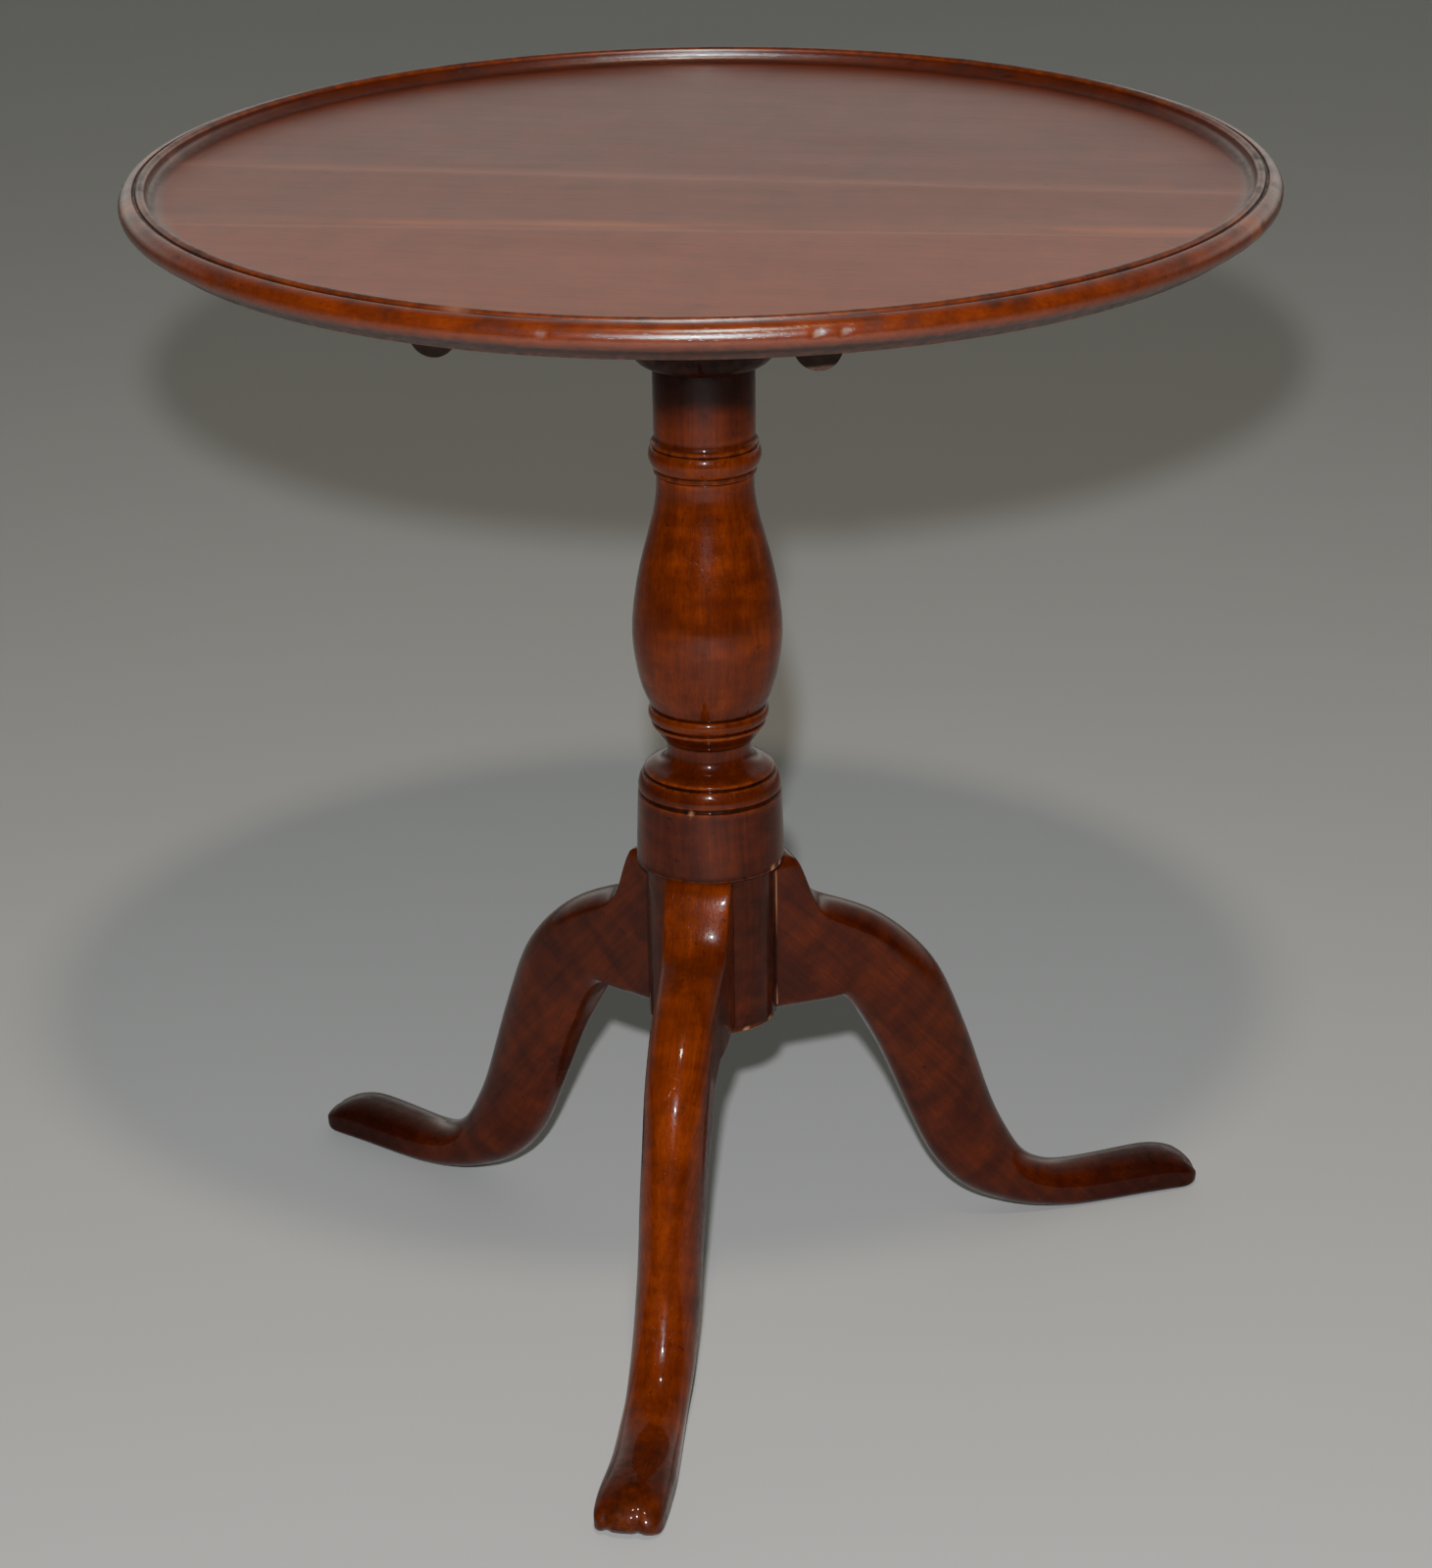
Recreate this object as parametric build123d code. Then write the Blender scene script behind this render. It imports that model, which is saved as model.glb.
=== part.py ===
from build123d import *
import math
import os

# Tilt top table: a round dished top on a turned pillar with three cabriole legs.
# Millimetres, +Z up. The origin is on the floor under the pillar's axis. The front leg points
# along -Y. The top tilts about a line along X behind the pillar, and a snap catch holds its front.

# Whole table
TABLE_HEIGHT = 710.0
TOP_RADIUS = 332.0

# Top: three boards glued edge to edge, with the rim and the dish turned in the solid
EDGE_THICKNESS = 23.0
DISH_DEPTH = 9.0
FIELD_RADIUS = TOP_RADIUS - 20.0
UNDERSIDE_Z = TABLE_HEIGHT - EDGE_THICKNESS
FIELD_Z = TABLE_HEIGHT - DISH_DEPTH
BACK_JOINT_Y = 8.0
FRONT_JOINT_Y = -112.0
FRONT_JOINT_SLOPE = 0.07

# Bearers: two cleats across the grain, screwed under the top
BEARER_SPACING = 206.0
BEARER_WIDTH = 26.0
BEARER_DEPTH = 26.0
BEARER_HALF_LENGTH = 238.0
BEARER_ROUND_START_Y = 118.0
BEARER_ROUND_DEPTH = 11.0
BEARER_INNER_X = (BEARER_SPACING - BEARER_WIDTH) / 2
BEARER_SCREW_YS = [-215.0, -60.0, 25.0, 130.0, 215.0]
SCREW_POCKET_DEPTH = 9.0
SCREW_POCKET_RADIUS = 5.0

# Hinge: round pins on the block turn in blind holes in the bearers
HINGE_Y = 62.0
HINGE_DROP = 13.0
HINGE_Z = UNDERSIDE_Z - HINGE_DROP
PIN_RADIUS = 7.0
PIN_LENGTH = 20.0
PIN_CLEARANCE = 0.06
PIN_END_GAP = 1.0
STOP_GAP = 0.3

# Block on the head of the pillar
BLOCK_SIDE_GAP = 0.5
BLOCK_HALF_WIDTH = BEARER_INNER_X - BLOCK_SIDE_GAP
BLOCK_THICKNESS = 30.0
BLOCK_FRONT_Y = -75.0
BLOCK_TOP_Z = UNDERSIDE_Z - STOP_GAP
BLOCK_BOTTOM_Z = BLOCK_TOP_Z - BLOCK_THICKNESS
TENON_RADIUS = 19.0
TENON_TOP_Z = BLOCK_TOP_Z - 0.5
WEDGE_DEPTH = 26.0
WEDGE_TOP_THICKNESS = 5.0
WEDGE_TIP_THICKNESS = 1.0

# Pillar: heights and radii of its turned sections, from the bottom up
STEM_BOTTOM_Z = 178.0
STEM_RADIUS = 39.3
DRUM_BOTTOM_Z = 281.0
DRUM_RADIUS = 45.2
DRUM_TOP_Z = 325.2
DRUM_TOP_RADIUS = 43.6
BAND_TOP_Z = 338.6
CUSHION_TOP_Z = 344.8
WAIST_FOOT_Z = 347.2
WAIST_RADIUS = 25.4
LOW_RING_BOTTOM_Z = 359.3
LOW_RING_RADIUS = 36.4
LOW_RING_TOP_Z = 380.8
VASE_RADIUS = 45.0
VASE_WIDEST_Z = 423.0
VASE_TOP_Z = 517.5
COLLAR_RADIUS = 29.1
HIGH_RING_BOTTOM_Z = 526.8
HIGH_RING_RADIUS = 33.5
HIGH_RING_TOP_Z = 545.5
NECK_BOTTOM_Z = 552.0
NECK_RADIUS = 30.2
BOWL_BOTTOM_Z = 593.0
BOWL_TOP_Z = 650.0
BOWL_RADIUS = 57.0

# Legs: the outline is drawn in the leg's own plane, outwards and up
LEG_ANGLES = {"leg_front": -90.0, "leg_right": 30.0, "leg_left": 150.0}
SHOULDER_R = 34.1
LEG_ROOT_WIDTH = 39.0
LEG_ANKLE_WIDTH = 37.4
FOOT_WIDTH = 41.0
TOE_R = 331.0
SOLE_HEEL_R = 236.0
SOLE_TOE_R = 323.0
DOVETAIL_INNER_R = 18.0
DOVETAIL_NECK_WIDTH = 13.0
DOVETAIL_WIDTH = 19.0
DOVETAIL_TOP_Z = 268.0

# Iron strap under the pillar and the legs
STRAP_THICKNESS = 2.0
STRAP_ARM_WIDTH = 18.0
STRAP_HUB_RADIUS = 15.0
STRAP_REACH = 70.0
STRAP_SCREW_R = 60.0

# Snap catch under the top: plate, case, sprung bolt and knob
CATCH_FRONT_Y = BLOCK_FRONT_Y - 5.0
PLATE_THICKNESS = 1.2
PLATE_LENGTH = 66.0
PLATE_WIDTH = 38.0
CASE_LENGTH = 56.0
CASE_WIDTH = 25.0
CASE_DEPTH = 15.3
CASE_WALL = 1.5
BOLT_WIDTH = 16.0
BOLT_THICKNESS = 7.0
BOLT_Z = UNDERSIDE_Z - 9.5
BOLT_REACH = 8.0
BOLT_LENGTH = 51.0
BOLT_TRAVEL = 9.0
BOLT_CLEARANCE = 0.15
BEVEL_LENGTH = 7.0
BEVEL_HEIGHT = 6.0
KNOB_Y = -104.0
KNOB_STEM_RADIUS = 2.5
KNOB_TANG_RADIUS = 1.8
KNOB_RADIUS = 6.0
KNOB_DROP = 14.0
SPRING_RADIUS = 2.4
SPRING_WIRE_RADIUS = 0.4
SPRING_PITCH = 2.6

# Keeper let into the block's front face
KEEPER_WIDTH = 46.0
KEEPER_HEIGHT = 16.0
KEEPER_THICKNESS = 1.2
KEEPER_SLOT_MARGIN = 0.5
KEEPER_SCREW_X = 17.0
KEEPER_POCKET_DEPTH = 10.0


def solid_between(low, high):
    """Box between two opposite corners."""
    sizes = [high[i] - low[i] for i in range(3)]
    middle = [(high[i] + low[i]) / 2 for i in range(3)]
    return Pos(*middle) * Box(*sizes)


def turned(edges):
    """Solid turned about Z from an outline of radius and height."""
    return revolve(Plane.XZ * make_face(edges), Axis.Z, 360)


def polyline_edges(points):
    """Straight edges through the points, in order."""
    return [Line(points[i], points[i + 1]) for i in range(len(points) - 1)]


def screw(head_radius, shank_radius, length):
    """Countersunk slotted screw along +Z, with the flat of its head at the origin."""
    head_height = head_radius - shank_radius
    tip_height = 2 * shank_radius
    shank_length = length - head_height - tip_height
    base = (Align.CENTER, Align.CENTER, Align.MIN)
    body = Cone(head_radius, shank_radius, head_height, align=base)
    body += Pos(0, 0, head_height) * Cylinder(shank_radius, shank_length, align=base)
    tip = Cone(shank_radius, 0.3, tip_height, align=base)
    body += Pos(0, 0, head_height + shank_length) * tip
    slot = Box(2 * head_radius, head_radius / 4, head_height, align=Align.CENTER)
    return body - slot


def screw_hole(head_radius, shank_radius, length):
    """Wood or metal taken out by such a screw, with its slot filled."""
    head_height = head_radius - shank_radius
    base = (Align.CENTER, Align.CENTER, Align.MIN)
    hole = Cone(head_radius, shank_radius, head_height, align=base)
    return hole + Cylinder(shank_radius, length, align=base)


# Top ------------------------------------------------------------------------------------------

def top_disc():
    """The whole turned top: flat underside, double-bead rim and dished field."""
    radius = TOP_RADIUS
    height = TABLE_HEIGHT
    under_edge = (radius - 14, UNDERSIDE_Z)
    torus_low = (radius - 5.5, height - 16.8)
    torus_high = (radius - 8.2, height - 1.7)
    bead_outer = (radius - 10.2, height - 1.6)
    bead_inner = (radius - 15.4, height - 1.8)
    field_edge = (FIELD_RADIUS, FIELD_Z)
    edges = [
        Line((0, UNDERSIDE_Z), under_edge),
        SagittaArc(under_edge, torus_low, 0.8),
        ThreePointArc(torus_low, (radius, height - 9.0), torus_high),
        ThreePointArc(torus_high, (radius - 9.2, height - 3.2), bead_outer),
        ThreePointArc(bead_outer, (radius - 12.8, height), bead_inner),
        ThreePointArc(bead_inner, (radius - 16.3, height - 6.6), field_edge),
        Line(field_edge, (0, FIELD_Z)),
        Line((0, FIELD_Z), (0, UNDERSIDE_Z)),
    ]
    return turned(edges)


def board_strip(low_y, low_slope, high_y, high_slope):
    """Tall strip across the top between two joint lines given by their y and slope at x = 0."""
    reach = TOP_RADIUS + 10
    corners = [
        (-reach, low_y - reach * low_slope),
        (reach, low_y + reach * low_slope),
        (reach, high_y + reach * high_slope),
        (-reach, high_y - reach * high_slope),
    ]
    face = make_face(polyline_edges(corners + corners[:1]))
    return extrude(Pos(0, 0, UNDERSIDE_Z - 10) * face, EDGE_THICKNESS + 20)


def top_boards():
    """The three boards of the top, with the holes of every screw that enters them."""
    disc = top_disc()
    for hole in bearer_screw_set(screw_hole) + catch_screw_set(screw_hole):
        disc -= hole
    edge = TOP_RADIUS + 20
    slope = FRONT_JOINT_SLOPE
    return {
        "top_board_back": disc & board_strip(BACK_JOINT_Y, 0, edge, 0),
        "top_board_middle": disc & board_strip(FRONT_JOINT_Y, slope, BACK_JOINT_Y, 0),
        "top_board_front": disc & board_strip(-edge, 0, FRONT_JOINT_Y, slope),
    }


# Bearers --------------------------------------------------------------------------------------

def bearer_screw_at(maker, x, y):
    """One bearer screw, or its hole, with its head at the bottom of its pocket."""
    z = UNDERSIDE_Z - BEARER_DEPTH + SCREW_POCKET_DEPTH
    return Pos(x, y, z) * maker(4.2, 2.0, BEARER_DEPTH)


def bearer_screw_set(maker, sides=(-1, 1)):
    """Screws, or their holes, of the bearers on the given sides."""
    offset = BEARER_SPACING / 2
    return [bearer_screw_at(maker, side * offset, y) for side in sides for y in BEARER_SCREW_YS]


def bearer_edge_waste():
    """What is planed off a bearer's lower edges towards one end, to leave a round belly."""
    half = BEARER_WIDTH / 2
    bottom = UNDERSIDE_Z - BEARER_DEPTH
    spring = bottom + BEARER_ROUND_DEPTH
    belly = [
        ThreePointArc((-half, spring), (0, bottom), (half, spring)),
        Line((half, spring), (-half, spring)),
    ]
    half_run = (BEARER_HALF_LENGTH - BEARER_ROUND_START_Y) / 2
    kept = extrude(Plane.XZ * make_face(belly), half_run + 1, both=True)
    low = (-half - 1, -half_run, bottom - 1)
    return solid_between(low, (half + 1, half_run, spring)) - kept


def bearer(side):
    """Cleat with round-bellied ends, a blind pin hole and screw pockets."""
    bottom = UNDERSIDE_Z - BEARER_DEPTH
    middle = side * BEARER_SPACING / 2
    far = BEARER_HALF_LENGTH
    low = (middle - BEARER_WIDTH / 2, -far, bottom)
    bar = solid_between(low, (middle + BEARER_WIDTH / 2, far, UNDERSIDE_Z))
    for end in (-1, 1):
        bar -= Pos(middle, end * (far + BEARER_ROUND_START_Y) / 2, 0) * bearer_edge_waste()
    hole_length = PIN_LENGTH - BLOCK_SIDE_GAP + PIN_END_GAP
    hole = Cylinder(PIN_RADIUS + PIN_CLEARANCE, hole_length, rotation=(0, 90, 0))
    bar -= Pos(side * (BEARER_INNER_X + hole_length / 2), HINGE_Y, HINGE_Z) * hole
    for y in BEARER_SCREW_YS:
        pocket = Cylinder(SCREW_POCKET_RADIUS, 2 * SCREW_POCKET_DEPTH)
        bar -= Pos(middle, y, bottom) * pocket
        bar -= bearer_screw_at(screw_hole, middle, y)
    return bar


# Block, pillar and wedge ----------------------------------------------------------------------

def wedge_prism():
    """Tapered bar along X that spreads the pillar's tenon."""
    top = WEDGE_TOP_THICKNESS / 2
    tip = WEDGE_TIP_THICKNESS / 2
    low = TENON_TOP_Z - WEDGE_DEPTH
    corners = [(-tip, low), (tip, low), (top, TENON_TOP_Z), (-top, TENON_TOP_Z)]
    face = make_face(polyline_edges(corners + corners[:1]))
    return extrude(Plane.YZ * face, TENON_RADIUS + 2, both=True)


def tenon_wedge():
    """The wedge, trimmed to the round tenon."""
    height = TENON_TOP_Z - BLOCK_BOTTOM_Z
    tenon = Cylinder(TENON_RADIUS, height, align=(Align.CENTER, Align.CENTER, Align.MIN))
    return wedge_prism() & (Pos(0, 0, BLOCK_BOTTOM_Z) * tenon)


def tilt_block():
    """Block with a round hinge edge, two pivot pins, the tenon's hole and the keeper's seat."""
    back_radius = HINGE_DROP - STOP_GAP
    back = HINGE_Y + back_radius
    bend = back_radius * math.sqrt(0.5)
    edges = [
        Line((BLOCK_FRONT_Y, BLOCK_BOTTOM_Z), (back, BLOCK_BOTTOM_Z)),
        Line((back, BLOCK_BOTTOM_Z), (back, HINGE_Z)),
        ThreePointArc((back, HINGE_Z), (HINGE_Y + bend, HINGE_Z + bend), (HINGE_Y, BLOCK_TOP_Z)),
        Line((HINGE_Y, BLOCK_TOP_Z), (BLOCK_FRONT_Y, BLOCK_TOP_Z)),
        Line((BLOCK_FRONT_Y, BLOCK_TOP_Z), (BLOCK_FRONT_Y, BLOCK_BOTTOM_Z)),
    ]
    block = extrude(Plane.YZ * make_face(edges), BLOCK_HALF_WIDTH, both=True)
    pins = Cylinder(PIN_RADIUS, 2 * (BLOCK_HALF_WIDTH + PIN_LENGTH), rotation=(0, 90, 0))
    block += Pos(0, HINGE_Y, HINGE_Z) * pins
    block -= Pos(0, 0, BLOCK_BOTTOM_Z) * Cylinder(TENON_RADIUS, 3 * BLOCK_THICKNESS)
    block -= keeper_blank()
    block -= keeper_pocket()
    for hole in keeper_screw_set(screw_hole):
        block -= hole
    return block


def pillar_outline():
    """Outline of the turned pillar, radius against height, from its bottom to its tenon."""
    groove_low = (DRUM_TOP_RADIUS, DRUM_TOP_Z)
    groove_high = (DRUM_TOP_RADIUS - 0.3, DRUM_TOP_Z + 2.4)
    band_top = (39.6, BAND_TOP_Z)
    cushion_low = (39.2, BAND_TOP_Z + 0.8)
    cushion_edge = (38.8, BAND_TOP_Z + 2.8)
    cushion_high = (28.0, CUSHION_TOP_Z)
    waist_low = (WAIST_RADIUS, WAIST_FOOT_Z)
    waist_high = (WAIST_RADIUS + 0.9, LOW_RING_BOTTOM_Z)
    ring_low = (28.6, LOW_RING_BOTTOM_Z + 1.5)
    fillet_low = (LOW_RING_RADIUS - 2.2, LOW_RING_BOTTOM_Z + 9.5)
    fillet_high = (LOW_RING_RADIUS - 1.9, LOW_RING_BOTTOM_Z + 10.9)
    quirk = (LOW_RING_RADIUS - 2.5, LOW_RING_BOTTOM_Z + 11.9)
    ring_wide = (LOW_RING_RADIUS, LOW_RING_BOTTOM_Z + 16.7)
    ring_high = (LOW_RING_RADIUS - 2.0, LOW_RING_TOP_Z)
    collar_low = (COLLAR_RADIUS, VASE_TOP_Z)
    collar_high = (COLLAR_RADIUS, HIGH_RING_BOTTOM_Z)
    high_ring_top = (HIGH_RING_RADIUS - 2.1, HIGH_RING_TOP_Z)
    neck_low = (NECK_RADIUS, NECK_BOTTOM_Z)
    bowl_low = (NECK_RADIUS, BOWL_BOTTOM_Z)
    vase = [
        ring_high,
        (39.3, 392.0),
        (43.6, 410.5),
        (VASE_RADIUS, VASE_WIDEST_Z),
        (43.5, 448.0),
        (38.7, 473.0),
        (32.2, 497.5),
        collar_low,
    ]
    bowl = [
        bowl_low,
        (35.5, 593.9),
        (39.6, 596.4),
        (42.6, 600.5),
        (47.0, 610.5),
        (52.5, 629.0),
        (BOWL_RADIUS, BOWL_TOP_Z),
    ]
    start = [(0, STEM_BOTTOM_Z), (STEM_RADIUS, STEM_BOTTOM_Z), (STEM_RADIUS, DRUM_BOTTOM_Z)]
    start += [(DRUM_RADIUS, DRUM_BOTTOM_Z), groove_low]
    edges = polyline_edges(start)
    edges += [
        ThreePointArc(groove_low, (DRUM_TOP_RADIUS - 1.4, DRUM_TOP_Z + 1.3), groove_high),
        ThreePointArc(groove_high, (42.2, BAND_TOP_Z - 6.0), band_top),
        Line(band_top, cushion_low),
        ThreePointArc(cushion_low, (39.6, BAND_TOP_Z + 1.9), cushion_edge),
        ThreePointArc(cushion_edge, (33.9, BAND_TOP_Z + 5.2), cushion_high),
        ThreePointArc(cushion_high, (26.1, CUSHION_TOP_Z + 0.7), waist_low),
        Line(waist_low, waist_high),
        Line(waist_high, ring_low),
    ]
    edges += polyline_edges([ring_low, fillet_low, fillet_high, quirk])
    edges += [
        ThreePointArc(quirk, ring_wide, ring_high),
        Spline(vase, tangents=[(0.6, 1.0), (0.0, 1.0)]),
        Line(collar_low, collar_high),
        ThreePointArc(collar_high, (HIGH_RING_RADIUS, HIGH_RING_BOTTOM_Z + 10.6), high_ring_top),
        SagittaArc(high_ring_top, neck_low, 0.5),
        Line(neck_low, bowl_low),
        Spline(bowl, tangents=[(1.0, 0.1), (0.2, 1.0)]),
    ]
    end = [(BOWL_RADIUS, BOWL_TOP_Z), (BOWL_RADIUS, BLOCK_BOTTOM_Z)]
    end += [(TENON_RADIUS, BLOCK_BOTTOM_Z), (TENON_RADIUS, TENON_TOP_Z), (0, TENON_TOP_Z)]
    return edges + polyline_edges(end + [(0, STEM_BOTTOM_Z)])


def column():
    """Turned pillar with a wedged tenon, and a flat and a dovetail socket for each leg."""
    pillar = turned(pillar_outline()) - wedge_prism()
    half = LEG_ROOT_WIDTH / 2 + 1
    flat = solid_between((SHOULDER_R, -half, STEM_BOTTOM_Z - 1), (60, half, DRUM_BOTTOM_Z))
    for angle in LEG_ANGLES.values():
        pillar -= Rot(0, 0, angle) * flat
        pillar -= Rot(0, 0, angle) * dovetail()
    for hole in strap_screw_set(screw_hole):
        pillar -= hole
    return pillar


# Legs -----------------------------------------------------------------------------------------

def dovetail():
    """Dovetail tongue on a leg's root, along +X before the leg is turned to its place."""
    neck = DOVETAIL_NECK_WIDTH / 2
    wide = DOVETAIL_WIDTH / 2
    outer = SHOULDER_R
    inner = DOVETAIL_INNER_R
    corners = [(outer, -neck), (outer, neck), (inner, wide), (inner, -wide)]
    face = make_face(polyline_edges(corners + corners[:1]))
    return extrude(Pos(0, 0, STEM_BOTTOM_Z) * face, DOVETAIL_TOP_Z - STEM_BOTTOM_Z)


def leg_side():
    """Side view of a leg, swept out to both sides: cabriole curve, pad foot and flat sole."""
    crest = (46.0, DRUM_BOTTOM_Z)
    toe_top = (318.0, 21.0)
    toe_tip = (TOE_R, 9.0)
    toe_low = (SOLE_TOE_R, 0.0)
    heel = (SOLE_HEEL_R, 0.0)
    under = (80.0, STEM_BOTTOM_Z)
    back = [crest, (57.0, 263.0), (66.0, 246.5), (80.0, 238.5), (105.0, 226.5), (131.0, 206.0)]
    back += [(151.0, 180.0), (171.0, 132.0), (190.0, 77.0), (208.0, 44.0), (232.0, 28.0)]
    back += [(262.0, 24.5), (295.0, 24.5), toe_top]
    front = [heel, (210.0, 4.5), (182.0, 15.0), (160.0, 33.0), (142.0, 60.0), (129.0, 91.0)]
    front += [(116.0, 122.0), (101.0, 152.0), (88.0, 171.0), under]
    edges = [
        Line((SHOULDER_R, STEM_BOTTOM_Z), (SHOULDER_R, DRUM_BOTTOM_Z)),
        Line((SHOULDER_R, DRUM_BOTTOM_Z), crest),
        Spline(back, tangents=[(0.5, -1.0), (1.0, -0.4)]),
        Spline([toe_top, toe_tip], tangents=[(1.0, -0.4), (-0.1, -1.0)]),
        Spline([toe_tip, toe_low], tangents=[(-0.1, -1.0), (-1.0, 0.0)]),
        Line(toe_low, heel),
        Spline(front, tangents=[(-1.0, 0.0), (-1.0, 0.3)]),
        Line(under, (SHOULDER_R, STEM_BOTTOM_Z)),
    ]
    return extrude(Plane.XZ * make_face(edges), FOOT_WIDTH, both=True)


def leg_plan():
    """Top view of a leg, swept up: it narrows to the ankle and widens to the pad foot."""
    root = LEG_ROOT_WIDTH / 2
    ankle = LEG_ANKLE_WIDTH / 2
    foot = FOOT_WIDTH / 2
    tip = (TOE_R + 0.5, 0)
    right = [(60.0, root), (115.0, 19.3), (185.0, ankle), (225.0, 18.6), (270.0, 19.1)]
    right += [(299.0, foot)]
    left = [(x, -y) for x, y in reversed(right)]
    edges = [
        Line((SHOULDER_R, -root), (SHOULDER_R, root)),
        Line((SHOULDER_R, root), right[0]),
        Spline(right, tangents=[(1.0, 0.0), (1.0, 0.0)]),
        Spline([right[-1], tip], tangents=[(1.0, 0.0), (0.0, -1.0)]),
        Spline([tip, left[0]], tangents=[(0.0, -1.0), (-1.0, 0.0)]),
        Spline(left, tangents=[(-1.0, 0.0), (-1.0, 0.0)]),
        Line(left[-1], (SHOULDER_R, -root)),
    ]
    return extrude(make_face(edges), DRUM_BOTTOM_Z + 10)


def leg(angle):
    """One leg with its dovetail, turned to its place, with its strap screw's hole."""
    body = (leg_side() & leg_plan()) + dovetail()
    body = Rot(0, 0, angle) * body
    for hole in strap_screw_set(screw_hole):
        body -= hole
    return body


# Iron strap -----------------------------------------------------------------------------------

def strap_screw_set(maker):
    """Screws of the iron strap, or their holes: one in the pillar and one in each leg."""
    low = STEM_BOTTOM_Z - STRAP_THICKNESS
    screws = [Pos(0, 0, low) * maker(4.0, 1.8, 22.0)]
    for angle in LEG_ANGLES.values():
        screws.append(Rot(0, 0, angle) * (Pos(STRAP_SCREW_R, 0, low) * maker(4.0, 1.8, 22.0)))
    return screws


def iron_strap():
    """Flat plate with three round-ended arms."""
    low = STEM_BOTTOM_Z - STRAP_THICKNESS
    base = (Align.CENTER, Align.CENTER, Align.MIN)
    plate = Cylinder(STRAP_HUB_RADIUS, STRAP_THICKNESS, align=base)
    half = STRAP_ARM_WIDTH / 2
    for angle in LEG_ANGLES.values():
        arm = solid_between((0, -half, 0), (STRAP_REACH - half, half, STRAP_THICKNESS))
        end = Pos(STRAP_REACH - half, 0, 0) * Cylinder(half, STRAP_THICKNESS, align=base)
        plate += Rot(0, 0, angle) * (arm + end)
    plate = Pos(0, 0, low) * plate
    for hole in strap_screw_set(screw_hole):
        plate -= hole
    return plate


# Snap catch -----------------------------------------------------------------------------------

def catch_screw_set(maker):
    """The four screws of the catch plate, or their holes, pointing up into the top."""
    x = PLATE_WIDTH / 2 - 3.4
    ys = [CATCH_FRONT_Y - 5.0, CATCH_FRONT_Y - PLATE_LENGTH + 4.0]
    z = UNDERSIDE_Z - PLATE_THICKNESS
    return [Pos(side * x, y, z) * maker(2.6, 1.3, 10.0) for side in (-1, 1) for y in ys]


def catch_plate():
    """Brass plate screwed to the underside of the top."""
    low = (-PLATE_WIDTH / 2, CATCH_FRONT_Y - PLATE_LENGTH, UNDERSIDE_Z - PLATE_THICKNESS)
    plate = solid_between(low, (PLATE_WIDTH / 2, CATCH_FRONT_Y, UNDERSIDE_Z))
    for hole in catch_screw_set(screw_hole):
        plate -= hole
    return plate


def catch_case():
    """Brass case open at the top, with the bolt's mouth in front and the knob's slot below."""
    top = UNDERSIDE_Z - PLATE_THICKNESS
    low = top - CASE_DEPTH
    half = CASE_WIDTH / 2
    back = CATCH_FRONT_Y - CASE_LENGTH
    case = solid_between((-half, back, low), (half, CATCH_FRONT_Y, top))
    inner = half - CASE_WALL
    inside_low = (-inner, back + CASE_WALL, low + CASE_WALL)
    case -= solid_between(inside_low, (inner, CATCH_FRONT_Y - CASE_WALL, top))
    mouth = BOLT_WIDTH / 2 + BOLT_CLEARANCE
    mouth_half = BOLT_THICKNESS / 2 + BOLT_CLEARANCE
    mouth_low = (-mouth, CATCH_FRONT_Y - 2 * CASE_WALL, BOLT_Z - mouth_half)
    case -= solid_between(mouth_low, (mouth, CATCH_FRONT_Y + 1, BOLT_Z + mouth_half))
    slot = KNOB_STEM_RADIUS + 0.4
    slot_low = (-slot, KNOB_Y - BOLT_TRAVEL - slot, low - 1)
    case -= solid_between(slot_low, (slot, KNOB_Y + slot, low + 2 * CASE_WALL))
    return case


def catch_bolt():
    """Flat bolt with a nose bevelled below, so that the closing top pushes it back."""
    nose = BLOCK_FRONT_Y + BOLT_REACH
    tail = nose - BOLT_LENGTH
    low = BOLT_Z - BOLT_THICKNESS / 2
    high = BOLT_Z + BOLT_THICKNESS / 2
    corners = [(tail, low), (nose - BEVEL_LENGTH, low), (nose, low + BEVEL_HEIGHT)]
    corners += [(nose, high), (tail, high)]
    face = make_face(polyline_edges(corners + corners[:1]))
    bar = extrude(Plane.YZ * face, BOLT_WIDTH / 2, both=True)
    return bar - Pos(0, KNOB_Y, BOLT_Z) * Cylinder(KNOB_TANG_RADIUS, BOLT_THICKNESS)


def catch_knob():
    """Turned knob: tang in the bolt, stem through the case's slot, and a round grip."""
    low = BOLT_Z - BOLT_THICKNESS / 2
    base = (Align.CENTER, Align.CENTER, Align.MIN)
    tang = Pos(0, 0, low) * Cylinder(KNOB_TANG_RADIUS, BOLT_THICKNESS, align=base)
    stem = Pos(0, 0, low - KNOB_DROP) * Cylinder(KNOB_STEM_RADIUS, KNOB_DROP, align=base)
    grip = Pos(0, 0, low - KNOB_DROP) * Sphere(KNOB_RADIUS)
    return Pos(0, KNOB_Y, 0) * (tang + stem + grip)


def catch_spring():
    """Coil spring between the case's back wall and the bolt's tail."""
    back = CATCH_FRONT_Y - CASE_LENGTH + CASE_WALL
    tail = BLOCK_FRONT_Y + BOLT_REACH - BOLT_LENGTH
    gap = SPRING_WIRE_RADIUS + 0.1
    length = tail - back - 2 * gap
    path = Helix(SPRING_PITCH, length, SPRING_RADIUS)
    start = Plane(origin=path @ 0, z_dir=path % 0)
    coil = sweep(start * Circle(SPRING_WIRE_RADIUS), path, is_frenet=True)
    return Pos(0, back + gap, BOLT_Z) * (Rot(-90, 0, 0) * coil)


# Keeper ---------------------------------------------------------------------------------------

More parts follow.
